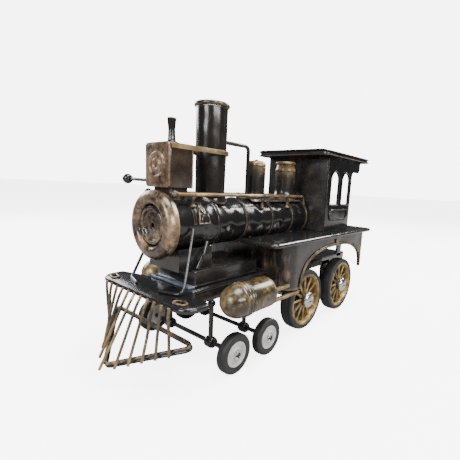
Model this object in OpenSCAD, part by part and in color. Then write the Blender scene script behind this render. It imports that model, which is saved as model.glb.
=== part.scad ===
// Toy steam locomotive, 4-4-0 type, folded sheet metal and welded wire.
// X runs forward, Y to the locomotive's left, Z up. The origin is on the ground, mid length.

/* [Driving wheels] */
// Outer radius of a driving tyre
driver_r = 24; // [23:0.5:24]
// Radius of the spoked centre inside the tyre
driver_rim_r = 20.5; // [19:0.5:21]
// Width of a driving wheel
driver_w = 10; // [8:0.5:10]
// Number of spokes in a driving wheel
spoke_count = 12; // [8:1:14]

/* [Truck wheels] */
// Outer radius of a truck tyre
truck_r = 12.2; // [11:0.1:12.6]
// Radius of the hub inside the truck tyre
truck_hub_r = 7.8; // [7:0.1:8.5]
// Width of a truck wheel
truck_w = 6; // [5:0.5:6]

/* [Boiler] */
// Height of the boiler's centre line
boiler_z = 85; // [85:0.5:86]
// Outer radius of the boiler barrel
barrel_r = 15.3; // [14:0.1:15.4]
// Outer radius of the smokebox drum
drum_r = 16.6; // [16:0.1:16.8]
// Outer radius of the smokebox rim
rim_r = 20; // [19:0.5:20.5]

/* [Cab and deck] */
// Half the width of the cab
cab_y = 31; // [28:0.5:32]
// Half the width of the footplate
foot_y = 45; // [44.5:0.5:48]
// Half the width of the front deck
deck_y = 43.2; // [42:0.2:45]
// Number of pilot bars
bar_count = 11; // [7:2:13]

/* [Hidden] */
$fn = 64;

// Sheet thickness, fits and gaps
sheet = 1.2;
fit = 0.05;
left_right = [1, -1];

// Wheel places: the driver and truck axles, and the middle of each wheel along Y
driver_x = [-17, -78];
driver_y = 34.5;
driver_axle_r = 2.5;
truck_x = [67.5, 36.2];
truck_y = 40.5;
truck_axle_r = 1.5;
screw_r = 6.2;

// Frame, deck and footplate levels
frame_y = 22;
frame_bottom = 40;
frame_top = 47.4;
frame_rear = -118;
deck_top = 49;
deck_front = 106;
deck_lip = 4;
saddle_top = 58.8;
foot_bottom = 72.4;
foot_top = 74;
foot_front = 37;
foot_rear = -128.6;
foot_slot_y = 13;

// Pilot: the wire loop's tip and rear bar
wire_rise = 1.1;
wire_w = 2;
bar_r = 0.8;
bar_stand = 2.7;
pilot_tip = [124.4, 0, 11.4];
pilot_corner = [96, 40.5, 26];

// Stations along the boiler
drum_front = 91;
drum_rear = 59.5;
band_x = [57.8, 31, 1, -26, -48.6];
band_r = 16.2;
band_w = 2.6;
plate_r = 17.3;
stack_x = 52.5;
stack_top = 158;
stack_foot = 103.6;
stack_bore = 8.4;
bead_r = 1.4;
tube_top = stack_top - bead_r - fit;
sand_x = 6;
steam_x = -33;
rail_y = 12.5;
rail_z = 103;
rail_r = 1.1;
rail_front = 90;
rail_rear = -44.5;

// Headlamp
lamp_front = 91.6;
lamp_rear = 75.5;
lamp_y = 11;
lamp_bottom = 106.4;
lamp_top = 130.8;
marker_x = 88.6;
marker_z = 110.3;
marker_end = 38;

// Cylinders
cylinder_y = 40;
cylinder_z = 43.8;
cylinder_r = 10;
cylinder_front = 66;
cylinder_rear = 41;

// Fender housing and cab
fender_y = 42.5;
fender_front = 16;
fender_rear = -112;
fender_bottom = 38;
fender_corner = 9;
arch_x = -53.5;
arch_half = 53;
arch_rise = 25.5;
arch_power = 2.6;
cab_front_x = -51.5;
cab_rear_x = -100;
cab_top = 140.6;
window_x = [-65, -86.5];
window_w = 15;
window_sill = 97.5;
window_head = 125;
roof_front = -38.5;
roof_rear = -128.6;
roof_y = 37;
roof_bottom = 137.2;
roof_top = 144.8;
roof_curve = 180;

// ---- outlines and helpers ----

// Points of an arc from angle a to angle b
function arc(cx, cy, r, a, b, n = 10) =
    [for (i = [0 : n]) [cx + r * cos(a + (b - a) * i / n), cy + r * sin(a + (b - a) * i / n)]];

// Rectangle with round corners
function round_rect(x0, x1, y0, y1, r) = concat(
    arc(x1 - r, y1 - r, r, 0, 90),
    arc(x0 + r, y1 - r, r, 90, 180),
    arc(x0 + r, y0 + r, r, 180, 270),
    arc(x1 - r, y0 + r, r, 270, 360));

// Upper half of a superellipse, the shape of the wheel arch
function arch_points(cx, base, half, rise, n = 28) =
    [for (i = [0 : n])
        let (u = cos(180 * i / n))
        [cx + half * u, base + rise * pow(max(0, 1 - pow(abs(u), arch_power)), 1 / arch_power)]];

// Window outline: straight sides under a round head
function window_points(cx, w, sill, head) =
    concat([[cx - w / 2, sill], [cx + w / 2, sill]], arc(cx, head - w / 2, w / 2, 0, 180, 16));

// Turns something modelled along Z so that it lies along X or along Y
module along_x(x, y = 0, z = 0) { translate([x, y, z]) rotate([0, 90, 0]) children(); }
module along_y(x, y, z) { translate([x, y, z]) rotate([-90, 0, 0]) children(); }

// Extrudes an outline drawn in X and Z from y0 to y1
module upright(y0, y1) {
    translate([0, y1, 0]) rotate([90, 0, 0]) linear_extrude(y1 - y0) children();
}

// Left and right copies
module both_sides() {
    children();
    mirror([0, 1, 0]) children();
}

// Straight rod between two points
module rod(a, b, r) {
    v = b - a;
    translate(a) rotate([0, acos(v[2] / norm(v)), atan2(v[1], v[0])]) cylinder(h = norm(v), r = r);
}

// Rod through a list of points, with a ball at each bend
module bent_rod(points, r) {
    for (i = [0 : len(points) - 2]) rod(points[i], points[i + 1], r);
    for (i = [1 : len(points) - 2]) translate(points[i]) sphere(r * 1.04);
}

// Ring lying across the boiler
module boiler_ring(x, width, outer, inner) {
    along_x(x, 0, boiler_z) difference() {
        cylinder(h = width, r = outer);
        translate([0, 0, -1]) cylinder(h = width + 2, r = inner);
    }
}

// ---- front end ----

// Unit vector from p to q
function unit_from(p, q) = (q - p) / norm(q - p);

// Corner q of a closed outline, moved out by d (edges run p to q to r, anticlockwise)
function moved_out(p, q, r, d) =
    let (n1 = [q[1] - p[1], p[0] - q[0]] / norm(q - p), n2 = [r[1] - q[1], q[0] - r[0]] / norm(r - q))
    q + (n1 + n2) * d / (1 + n1 * n2);

function grown(points, d) = let (n = len(points))
    [for (i = [0 : n - 1]) moved_out(points[(i + n - 1) % n], points[i], points[(i + 1) % n], d)];

// Triangle of wire, drawn flat from the rear bar and tilted down to the tip
module pilot_loop(rise) {
    drop = pilot_corner[2] - pilot_tip[2];
    reach = norm([pilot_tip[0] - pilot_corner[0], drop]);
    side = unit_from([reach, 0], [0, pilot_corner[1]]) * 4.5;
    a = [0, pilot_corner[1]] - side;
    b = [0, pilot_corner[1] - 4.5];
    nose = [reach - 2, pilot_corner[1] * 2 / reach];
    line = [nose, a, b, [b[0], -b[1]], [a[0], -a[1]], [nose[0], -nose[1]]];
    translate([pilot_corner[0], 0, pilot_corner[2]]) rotate([0, asin(drop / reach), 0])
        translate([0, 0, rise - wire_w / 2]) linear_extrude(wire_w) difference() {
            polygon(grown(line, wire_w / 2));
            polygon(grown(line, -wire_w / 2));
        }
}

module pilot_frame() {
    color("#b08d57") pilot_loop(wire_rise);
    color("#1a1a1c") pilot_loop(-wire_rise);
}

// Bars stand clear of both wires: each foot moves out by bar_stand plus what the bar leans back
module pilot_bars() {
    half = (bar_count - 1) / 2;
    run = pilot_corner - pilot_tip;
    normal = [run[1], -run[0]] / norm([run[0], run[1]]);
    color("#b08d57") for (i = [-half : half]) {
        at = pilot_tip + run * 0.72 * abs(i) / half;
        head = [deck_front + bar_r + 0.1, 31.5 * abs(i) / half, deck_top - 1.2];
        way = i == 0 ? [1, 0] : normal;
        lean = [at[0] - head[0], at[1] - head[1]] * way / (head[2] - at[2]);
        out = (i == 0 ? bar_stand - 1.3 : bar_stand) + 3.5 * max(0, lean);
        side = i < 0 ? -1 : 1;
        rod([at[0] + way[0] * out, side * (at[1] + way[1] * out), at[2] - 1],
            [head[0], side * head[1], head[2]], bar_r);
    }
}

// Deck outline: wide wings at the front and a tail that runs back under the saddle
function deck_points(inset) = concat(
    arc(deck_front - 9, deck_y - 9, 9 - inset, 0, 90),
    arc(deck_front - 14, deck_y - 3, 3 - inset, 90, 180, 5),
    [[84, frame_y - inset], [20 + inset, frame_y - inset], [20 + inset, -frame_y + inset],
     [84, -frame_y + inset]],
    arc(deck_front - 14, -deck_y + 3, 3 - inset, 180, 270, 5),
    arc(deck_front - 9, -deck_y + 9, 9 - inset, 270, 360));

module front_deck() {
    color("#232325") difference() {
        translate([0, 0, deck_top - deck_lip]) linear_extrude(deck_lip) polygon(deck_points(0));
        translate([0, 0, deck_top - deck_lip - 1]) linear_extrude(deck_lip - 0.6) polygon(deck_points(1.1));
        translate([15, -50, deck_top - deck_lip - 1]) cube([74, 100, deck_lip - 0.6]);
    }
}

module deck_eyelets() {
    color("#c9a24a") for (s = left_right)
        translate([101.2, s * 33, deck_top]) rotate([0, 0, s * 12]) linear_extrude(1.1) difference() {
            polygon(round_rect(-2.6, 2.6, -4.4, 4.4, 2.5));
            polygon(round_rect(-1.2, 1.2, -3, 3, 1.1));
        }
}

module brace_rods() {
    r = 0.9;
    rest = deck_top + r;
    path = [[81, 17.95, 84], [93, 25, rest + 0.6], [96, 23, rest], [99, 11, rest]];
    color("#2a2a2e") both_sides() bent_rod(path, r);
}

// ---- smokebox and boiler ----

module smokebox_rim() {
    color("#a8845a") along_x(drum_front, 0, boiler_z) rotate_extrude() polygon(concat(
        [[12, 0], [rim_r - 1, 0]],
        arc(rim_r - 4.2, 3.2, 4.2, -10, 90, 8),
        arc(15, 4.2, 3.2, 90, 180, 6)));
}

module smokebox_door() {
    color("#9c7b55") along_x(drum_front - 0.6, 0, boiler_z) difference() {
        rotate_extrude() polygon(concat(
            [[0, 0], [11.3, 0], [11.3, 5]],
            arc(10, 5.3, 1.2, 0, 180, 8),
            [[8.4, 4.6], [7.6, 4.6], [3, 5.2], [0, 5.3]]));
        translate([0, 0, 2.4]) cylinder(h = 4, r = 1.5);
    }
}

module smokebox_drum() {
    color("#1b1b1d") boiler_ring(drum_rear, drum_front - drum_rear - 0.6, drum_r, drum_r - sheet);
}

module boiler_barrel() {
    color("#18181a") boiler_ring(cab_front_x, drum_rear - cab_front_x - 0.2, barrel_r, barrel_r - sheet);
}

module boiler_bands() {
    color("#b0863f") for (x = band_x) boiler_ring(x - band_w / 2, band_w, band_r, barrel_r + fit);
}

// Round bar along the boiler, hooked down at the rear, on three posts a side
module handrails() {
    color("#b8935a") both_sides() {
        bent_rod([[rail_front, rail_y, rail_z], [rail_rear, rail_y, rail_z],
            [rail_rear - 0.8, rail_y + 0.8, rail_z - 8]], rail_r);
        translate([rail_front, rail_y, rail_z]) sphere(2.3);
        for (x = [77, 12, -20]) difference() {
            translate([x, rail_y, boiler_z]) cylinder(h = rail_z - rail_r + 0.3 - boiler_z, r = 1.4);
            along_x(-60, 0, boiler_z) cylinder(h = 120, r = barrel_r + fit);
            along_x(drum_rear - 0.5, 0, boiler_z) cylinder(h = 40, r = drum_r + fit);
        }
    }
}

// Small plain shield pressed from sheet, wrapped on the drum's side
module side_badges() {
    shield = [[66.4, 86], [75.6, 86], [74.4, 93], [73, 96.6], [71, 98.2], [69, 96.6], [67.6, 93]];
    color("#a58a5c") both_sides() intersection() {
        boiler_ring(60, 20, drum_r + 1.1, drum_r + fit);
        upright(0, 30) polygon(shield);
    }
}

// ---- headlamp ----

module headlamp_box() {
    color("#3a2c22") {
        difference() {
            translate([lamp_rear, -lamp_y + 0.6, lamp_bottom])
                cube([lamp_front - lamp_rear, 2 * lamp_y - 1.2, lamp_top - lamp_bottom]);
            translate([lamp_rear + 1, -lamp_y + 1.6, lamp_bottom + 1])
                cube([lamp_front - lamp_rear, 2 * lamp_y - 3.2, lamp_top - lamp_bottom - 2]);
            along_y(marker_x, -20, marker_z) cylinder(h = 40, r = 1.15);
        }
        difference() {
            translate([77, -8, boiler_z + 10]) cube([12.5, 16, lamp_bottom - boiler_z - 10]);
            along_x(70, 0, boiler_z) cylinder(h = 30, r = drum_r + fit);
        }
    }
}

// Plate with two embossed rings round the lens boss
module headlamp_front() {
    plate_z = (lamp_bottom + lamp_top) / 2;
    color("#a5784c") {
        rotate([90, 0, 90]) translate([0, 0, lamp_front]) linear_extrude(sheet)
            polygon(round_rect(-lamp_y - 0.2, lamp_y + 0.2, lamp_bottom - 0.1, lamp_top + 0.2, 2.4));
        along_x(lamp_front + sheet - 0.2, 0, plate_z) rotate_extrude() polygon(concat(
            [[5.6, 0], [7.4, 0]], arc(6.5, 0.3, 0.9, 0, 180, 8)));
        along_x(lamp_front + sheet - 0.2, 0, plate_z) rotate_extrude()
            polygon([[0, 0], [3.6, 0], [3.2, 1.3], [2, 1.3], [1.4, 0.7], [0, 0.5]]);
    }
}

module headlamp_chimney() {
    color("#57402c") translate([83, 0, lamp_top]) rotate_extrude() polygon([
        [0, 0], [4.8, 0], [4.8, 1], [2.4, 1.6], [2, 7.5], [2.4, 13], [2.6, 14.5],
        [1.5, 14.5], [1.3, 9], [0, 9]]);
}

// Flat strap round three sides of the lamp's top edge and round the stack
module headlamp_strap() {
    inner_r = 10.35;
    outer_r = 11.4;
    color("#b98d3e") translate([0, 0, 127.6]) linear_extrude(3) difference() {
        union() {
            translate([stack_x, 0]) circle(r = outer_r);
            translate([stack_x, -outer_r]) square([lamp_front - 0.2 - stack_x, 2 * outer_r]);
        }
        translate([stack_x, 0]) circle(r = inner_r);
        translate([stack_x, -inner_r - 0.15]) square([60, 2 * inner_r + 0.3]);
    }
}

module marker_rod() {
    color("#4a3c2c") {
        rod([marker_x, -marker_end, marker_z], [marker_x, lamp_y - 3, marker_z], 1.1);
        translate([marker_x, -marker_end, marker_z]) sphere(3.2);
    }
}

// ---- stack, pipe and domes ----

module stack_tube() {
    color("#5d4330") difference() {
        translate([stack_x, 0, stack_foot]) cylinder(h = tube_top - stack_foot, r1 = 9.6, r2 = 10.2);
        translate([stack_x, 0, 90]) cylinder(h = 80, r = stack_bore);
    }
}

module stack_rim() {
    color("#a98048") translate([stack_x, 0, stack_top]) rotate_extrude()
        polygon(arc(9.9, 0, bead_r, 0, 360, 16));
}

// Flange under the stack, saddled on the boiler's bands
module stack_base() {
    color("#4a3726") difference() {
        translate([stack_x, 0, boiler_z + 10]) cylinder(h = stack_foot - boiler_z - 10, r = 11.2);
        along_x(30, 0, boiler_z) cylinder(h = 40, r = drum_r + fit);
        translate([stack_x, 0, 90]) cylinder(h = 20, r = stack_bore);
    }
}

module bent_pipe() {
    pipe_r = 1.35;
    bend_r = 4;
    down_x = 15.9;
    run_z = 137.5;
    color("#2b2622") {
        rod([stack_x - 10.2, 0, run_z], [down_x + bend_r, 0, run_z], pipe_r);
        translate([down_x + bend_r, 0, run_z - bend_r]) rotate([90, 0, 0]) rotate([0, 0, 90])
            rotate_extrude(angle = 90) translate([bend_r, 0]) circle(r = pipe_r);
        rod([down_x, 0, run_z - bend_r], [down_x, 0, boiler_z + plate_r + 0.1], pipe_r);
    }
}

// Curved strip that carries both domes above the bands
module dome_plate() {
    color("#8d6e44") intersection() {
        boiler_ring(-46.5, 66, plate_r, band_r + fit);
        translate([-50, -10, boiler_z]) cube([80, 20, 40]);
    }
}

module dome_seat(x, r, top) {
    difference() {
        translate([x, 0, boiler_z + 12]) cylinder(h = top - boiler_z - 12, r = r);
        along_x(-60, 0, boiler_z) cylinder(h = 120, r = plate_r + fit);
    }
}

module sand_dome() { color("#9a7440") dome_seat(sand_x, 7.2, 124.3); }

module steam_dome() {
    color("#9a7440") {
        dome_seat(steam_x, 8.5, 122.8);
        dome_seat(steam_x, 9.6, 104.6);
    }
}

module dome_caps() {
    color("#b48a4c") {
        translate([sand_x, 0, 124.4]) rotate_extrude() polygon(concat(
            [[0, 0], [7.4, 0], [7.4, 0.8]], arc(4.2, 0.9, 3.1, 10, 90, 6), [[2, 4], [0, 5.2]]));
        translate([steam_x, 0, 122.9]) rotate_extrude() polygon([
            [0, 0], [8.7, 0], [8.5, 1.4], [7.4, 5], [7, 5.6], [8.6, 6], [8.6, 7.6], [7.8, 8.2], [0, 8.6]]);
    }
}

// ---- saddle, cylinders and guide bars ----

module saddle_block() {
    color("#1f1f21") difference() {
        translate([22, -19, deck_top]) cube([58, 38, saddle_top - deck_top]);
        translate([23.2, -17.8, deck_top - 1]) cube([55.6, 35.6, saddle_top - deck_top - 0.2]);
    }
}

module saddle_collar() {
    color("#29292c") difference() {
        translate([63, -14.5, saddle_top]) cube([25, 29, 13]);
        along_x(50, 0, boiler_z) cylinder(h = 60, r = drum_r + fit);
        translate([64.2, -11.5, saddle_top - 1]) cube([22.6, 23, 5]);
    }
}

module steam_pipes() {
    color("#3a3228") both_sides() rod([76, 16.5, saddle_top + 0.9], [69, 16.2, 75.5], 1.5);
}

module cylinders() {
    color("#8f7442") both_sides() along_x(cylinder_rear, cylinder_y, cylinder_z) rotate_extrude()
        polygon(concat([[8.8, 0], [10, 0], [10, 19]], arc(10, 20.4, 0.8, -90, 90, 6),
            arc(10, 22.8, 0.8, -90, 90, 6), [[10, 25], [8.8, 25]]));
}

// Domed front covers and flatter rear covers
module cylinder_caps() {
    color("#8a6c40") both_sides() {
        along_x(cylinder_front, cylinder_y, cylinder_z) rotate_extrude() polygon(concat(
            [[0, 0]], [for (a = [0 : 9 : 90]) [cylinder_r * cos(a), 0.2 + 10.6 * sin(a)]]));
        along_x(cylinder_rear, cylinder_y, cylinder_z) mirror([0, 0, 1]) rotate_extrude() polygon(concat(
            [[0, 0]], [for (a = [0 : 15 : 75]) [cylinder_r - 2.5 + 2.5 * cos(a), 2.5 * sin(a)]], [[0, 3]]));
    }
}

module guide_bars() {
    color("#b08d4c") both_sides() {
        translate([14.2, 39.6, 41.4]) cube([cylinder_rear - 14.2 - 3.2, 3, 2.2]);
        translate([1, 39.9, 34.4]) cube([cylinder_rear - 1 - 3.2, 3, 2.2]);
    }
}

// ---- frame and truck ----

// Channel with lugs down for the axles, tabs up for the footplate and arms out to the cylinders
module main_frame() {
    color("#1c1c1e") difference() {
        union() {
            difference() {
                translate([frame_rear, -frame_y, frame_bottom])
                    cube([86 - frame_rear, 2 * frame_y, frame_top - frame_bottom]);
                translate([frame_rear - 1, -frame_y + 1.5, frame_bottom - 1])
                    cube([88 - frame_rear, 2 * frame_y - 3, frame_top - frame_bottom - 0.5]);
            }
            for (s = left_right) {
                for (x = driver_x) translate([x - 8, s * (frame_y - 0.75) - 0.75, 16]) cube([16, 1.5, 28]);
                for (x = [-111, 3]) translate([x, s * (frame_y - 0.75) - 0.75, 44])
                    cube([10, 1.5, foot_bottom - 44]);
                translate([44, s > 0 ? frame_y - 1 : -frame_y - 9.2, 42.6]) cube([14, 10.2, 2.4]);
            }
        }
        for (x = driver_x) along_y(x, -30, driver_r) cylinder(h = 60, r = driver_axle_r + 0.02);
        for (s = left_right) along_x(30, s * cylinder_y, cylinder_z) cylinder(h = 50, r = cylinder_r + fit);
    }
}

// Upright wires with an eye at the foot for the axle
module truck_posts() {
    color("#151517") for (x = truck_x) for (s = left_right) difference() {
        union() {
            translate([x, s * 20.5, truck_r + 2]) cylinder(h = frame_bottom - truck_r - 2, r = 1.5);
            along_y(x, s * 20.5 - 3.2, truck_r) cylinder(h = 6.4, r = 3.6);
        }
        along_y(x, s * 20.5 - 5, truck_r) cylinder(h = 10, r = truck_axle_r + 0.02);
    }
}

module truck_axles() {
    reach = truck_y + 4.6;
    color("#1d1d20") for (x = truck_x)
        along_y(x, -reach, truck_r) cylinder(h = 2 * reach, r = truck_axle_r);
}

module driver_axles() {
    reach = driver_y + 5.1;
    color("#2a2a2c") for (x = driver_x) {
        along_y(x, -reach, driver_r) cylinder(h = 2 * reach, r = driver_axle_r);
        both_sides() along_y(x, frame_y + 0.1, driver_r) cylinder(h = 29.1 - frame_y, r = 3.6);
    }
}

// Domed screws that hold the driving wheels on
module axle_screws() {
    color("#c9ccd0") for (x = driver_x) both_sides() along_y(x, driver_y + 5.2, driver_r) difference() {
        rotate_extrude() polygon(concat([[0, 0], [screw_r, 0], [screw_r, 0.8]],
            [for (a = [15 : 15 : 90]) [screw_r * cos(a), 0.8 + 3 * sin(a)]]));
        translate([-7, -0.6, 2.9]) cube([14, 1.2, 2]);
    }
}

// Push-on clips at the truck axles' ends
module axle_clips() {
    color("#9a9da0") for (x = truck_x) both_sides() along_y(x, truck_y + 3.2, truck_r) difference() {
        cylinder(h = 1, r = 3.4);
        translate([0, 0, -1]) cylinder(h = 3, r = truck_axle_r + 0.02);
        translate([0.9, -0.7, -1]) cube([4, 1.4, 3]);
    }
}

// ---- fender housing, footplate, cab and roof ----

// Plan of the housing: front wall and two side skirts, joined by round corners
function fender_plan(inset) = concat(
    arc(fender_front - fender_corner, fender_y - fender_corner, fender_corner - inset, 0, 90),
    [[fender_rear - 1, fender_y - inset], [fender_rear - 1, -fender_y + inset]],
    arc(fender_front - fender_corner, -fender_y + fender_corner, fender_corner - inset, 270, 360));

module fender_housing() {
    color("#6b4a35") difference() {
        translate([0, 0, fender_bottom]) linear_extrude(foot_bottom - fender_bottom) polygon(fender_plan(0));
        translate([0, 0, fender_bottom - 1]) linear_extrude(60) polygon(fender_plan(sheet));
        translate([fender_rear - 5, -60, 0]) cube([5, 120, 90]);
        upright(-60, 60) polygon(concat([[arch_x + arch_half, 20]],
            arch_points(arch_x, fender_bottom, arch_half, arch_rise), [[arch_x - arch_half, 20]]));
        translate([0, -frame_y - 0.6, 30]) cube([30, 2 * frame_y + 1.2, deck_top + 0.6 - 30]);
        along_x(0, 0, boiler_z) cylinder(h = 40, r = band_r + 0.4);
    }
}

module arch_trims() {
    gap = 0.3;
    inner = arch_half + gap;
    color("#b8965c") both_sides() upright(fender_y, fender_y + 1.1) difference() {
        polygon(arch_points(arch_x, fender_bottom, arch_half + 2.6, arch_rise + 2.6));
        polygon(concat([[arch_x + inner, 30]],
            arch_points(arch_x, fender_bottom, inner, arch_rise + gap), [[arch_x - inner, 30]]));
    }
}

module footplate() {
    color("#2c2a28") difference() {
        translate([0, 0, 70.8]) linear_extrude(foot_top - 70.8)
            polygon(round_rect(foot_rear, foot_front, -foot_y, foot_y, 5));
        translate([0, 0, 60]) linear_extrude(foot_bottom - 60)
            polygon(round_rect(foot_rear + sheet, foot_front - sheet, -foot_y + sheet, foot_y - sheet, 4));
        translate([cab_front_x - 0.1, -foot_slot_y, 60]) cube([100, 2 * foot_slot_y, 30]);
    }
}

module cab_front() {
    color("#1d1d1f") translate([cab_front_x - sheet, -cab_y + sheet, foot_top])
        cube([sheet, 2 * (cab_y - sheet), cab_top - foot_top]);
}

module cab_sides() {
    outline = concat(
        [[cab_front_x, foot_top], [cab_front_x, cab_top], [-117, cab_top]],
        arc(-113, 131, 4, 180, 270, 6),
        arc(-104, 123, 4, 90, 0, 6),
        [[cab_rear_x, foot_top]]);
    color("#1d1d1f") both_sides() upright(cab_y - sheet, cab_y) difference() {
        polygon(outline);
        for (x = window_x) polygon(window_points(x, window_w, window_sill, window_head));
    }
}

// Raised beads round the windows and the long oval below them
module window_frames() {
    bead = 1.5;
    color("#2b2a2a") both_sides() upright(cab_y, cab_y + 1.1) {
        for (x = window_x) difference() {
            polygon(window_points(x, window_w + 2 * bead, window_sill - bead, window_head + bead));
            polygon(window_points(x, window_w, window_sill, window_head));
        }
        difference() {
            polygon(round_rect(-95, -58, 83, 93, 4.9));
            polygon(round_rect(-93.6, -59.4, 84.4, 91.6, 3.5));
        }
    }
}

module roof_shape(inset, bottom) {
    intersection() {
        translate([0, 0, bottom]) linear_extrude(20) polygon(round_rect(
            roof_rear + inset, roof_front - inset, -roof_y + inset, roof_y - inset, 6 - inset));
        along_x(-140, 0, roof_top - roof_curve) cylinder(h = 120, r = roof_curve - inset, $fn = 180);
    }
}

module roof() {
    color("#35302c") difference() {
        roof_shape(0, roof_bottom);
        roof_shape(sheet, roof_bottom - 2);
    }
}

// ---- wheels: i picks the axle, s the side ----

module driver_tyre(i, s) {
    w = driver_w / 2;
    color("#202122") along_y(driver_x[i], s * driver_y, driver_r) rotate_extrude() polygon(concat(
        [[driver_rim_r, -w], [driver_r - 2, -w]],
        arc(driver_r - 2, -w + 2, 2, -90, 0, 5), arc(driver_r - 2, w - 2, 2, 0, 90, 5),
        [[driver_rim_r, w]]));
}

// Wheel centre: rim, hub, spokes set back from the outer face, and a thin web behind them
module driver_wheel(i, s) {
    w = driver_w / 2;
    face = s > 0 ? w - 4.4 : -w + 2;
    color("#b08a3c") along_y(driver_x[i], s * driver_y, driver_r) difference() {
        union() {
            difference() {
                translate([0, 0, -w]) cylinder(h = 2 * w, r = driver_rim_r);
                translate([0, 0, -w - 1]) cylinder(h = 2 * w + 2, r = driver_rim_r - 2.6);
            }
            translate([0, 0, s > 0 ? -w : -w + 0.4]) cylinder(h = 2 * w - 0.4, r = 5.4);
            translate([0, 0, s > 0 ? -w + 1.2 : w - 2.6]) cylinder(h = 1.4, r = driver_rim_r - 1);
            for (k = [0 : spoke_count - 1]) rotate([0, 0, 360 * k / spoke_count])
                translate([4, -1.1, face]) cube([driver_rim_r - 6, 2.2, 2.4]);
        }
        translate([0, 0, -20]) cylinder(h = 40, r = driver_axle_r + fit);
    }
}

module truck_tyre(i, s) {
    w = truck_w / 2;
    color("#2a2b2c") along_y(truck_x[i], s * truck_y, truck_r) rotate_extrude() polygon(concat(
        [[truck_hub_r, -w], [truck_r - 1.6, -w]],
        arc(truck_r - 1.6, -w + 1.6, 1.6, -90, 0, 5), arc(truck_r - 1.6, w - 1.6, 1.6, 0, 90, 5),
        [[truck_hub_r, w]]));
}

module truck_hub(i, s) {
    w = truck_w / 2;
    r = truck_hub_r;
    turn = s > 0 ? 0 : 180;
    color("#b9bab6") along_y(truck_x[i], s * truck_y, truck_r) rotate([turn, 0, 0]) difference() {
        rotate_extrude() polygon([[0, -w], [r, -w], [r, w - 0.2], [r - 1, w - 0.2],
            [r - 1.6, w - 0.9], [4.2, w - 0.9], [3.6, w - 0.1], [0, w - 0.1]]);
        translate([0, 0, -20]) cylinder(h = 40, r = truck_axle_r + fit);
    }
}

pilot_frame();
pilot_bars();
front_deck();
deck_eyelets();
brace_rods();
smokebox_rim();
smokebox_door();
smokebox_drum();
boiler_barrel();
boiler_bands();
handrails();
side_badges();
headlamp_box();
headlamp_front();
headlamp_chimney();
headlamp_strap();
marker_rod();
stack_tube();
stack_rim();
stack_base();
bent_pipe();
dome_plate();
sand_dome();
steam_dome();
dome_caps();
saddle_block();
saddle_collar();
steam_pipes();
cylinders();
cylinder_caps();
guide_bars();
main_frame();
truck_posts();
truck_axles();
fender_housing();
arch_trims();
footplate();
cab_front();
cab_sides();
window_frames();
roof();
driver_axles();
axle_screws();
axle_clips();
driver_tyre(0, 1);  // driver_front_left_tyre
driver_wheel(0, 1);  // driver_front_left_wheel
driver_tyre(0, -1);  // driver_front_right_tyre
driver_wheel(0, -1);  // driver_front_right_wheel
driver_tyre(1, 1);  // driver_rear_left_tyre
driver_wheel(1, 1);  // driver_rear_left_wheel
driver_tyre(1, -1);  // driver_rear_right_tyre
driver_wheel(1, -1);  // driver_rear_right_wheel
truck_tyre(0, 1);  // truck_front_left_tyre
truck_hub(0, 1);  // truck_front_left_hub
truck_tyre(0, -1);  // truck_front_right_tyre
truck_hub(0, -1);  // truck_front_right_hub
truck_tyre(1, 1);  // truck_rear_left_tyre
truck_hub(1, 1);  // truck_rear_left_hub
truck_tyre(1, -1);  // truck_rear_right_tyre
truck_hub(1, -1);  // truck_rear_right_hub
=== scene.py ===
# %% [markdown]
# # A sheet-metal toy locomotive
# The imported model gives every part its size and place. This notebook gives the parts their looks:
# rolled edges, dents, round wire, rubbed enamel. Lengths here are millimetres; build() turns them
# into metres at the very end.

# %% Load the frame
import bmesh
import bpy
import numpy as np
from mathutils import Matrix, Vector


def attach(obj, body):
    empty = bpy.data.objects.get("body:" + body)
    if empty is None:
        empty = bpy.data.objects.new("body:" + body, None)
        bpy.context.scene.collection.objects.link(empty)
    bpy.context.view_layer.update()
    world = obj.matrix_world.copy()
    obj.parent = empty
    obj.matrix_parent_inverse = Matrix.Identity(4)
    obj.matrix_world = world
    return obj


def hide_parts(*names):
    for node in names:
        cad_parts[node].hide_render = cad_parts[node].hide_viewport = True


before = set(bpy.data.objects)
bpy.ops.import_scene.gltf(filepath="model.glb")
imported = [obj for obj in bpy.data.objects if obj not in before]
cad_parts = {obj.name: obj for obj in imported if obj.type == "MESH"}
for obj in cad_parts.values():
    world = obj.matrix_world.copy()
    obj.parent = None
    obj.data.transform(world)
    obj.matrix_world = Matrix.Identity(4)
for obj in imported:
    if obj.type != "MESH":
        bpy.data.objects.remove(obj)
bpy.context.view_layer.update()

MM = 0.001
TAU = 2 * np.pi


# %% [markdown]
# ## Surfaces from grids
# Nearly every piece is a grid of points: a profile spun round an axis, a circle carried along a
# path, or a height over a plate. A grid is easy to turn into faces, because the four corners of
# each face are neighbours in the array. Poles and seams are welded afterwards.

# %% Grid, spin and sweep
def grid_faces(rows, columns, loop_rows=False, loop_columns=False):
    """Quads between neighbours of a rows x columns grid; a looped side joins its last to its first."""
    i = np.arange(rows if loop_rows else rows - 1)[:, None]
    j = np.arange(columns if loop_columns else columns - 1)[None, :]
    i2, j2 = (i + 1) % rows, (j + 1) % columns
    corners = [i * columns + j, i2 * columns + j, i2 * columns + j2, i * columns + j2]
    return np.stack([c.ravel() for c in np.broadcast_arrays(*corners)], 1)


def turned(points, axis, centre):
    """Puts a shape made round +Z on the axis X, Y, -Y or Z and moves it to centre."""
    order = {"Z": [[1, 0, 0], [0, 1, 0], [0, 0, 1]], "X": [[0, 1, 0], [0, 0, 1], [1, 0, 0]],
             "-X": [[0, -1, 0], [0, 0, 1], [-1, 0, 0]], "Y": [[0, 0, 1], [1, 0, 0], [0, 1, 0]],
             "-Y": [[0, 0, 1], [-1, 0, 0], [0, -1, 0]]}[axis]
    return points @ np.array(order, float) + np.asarray(centre, float)


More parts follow.
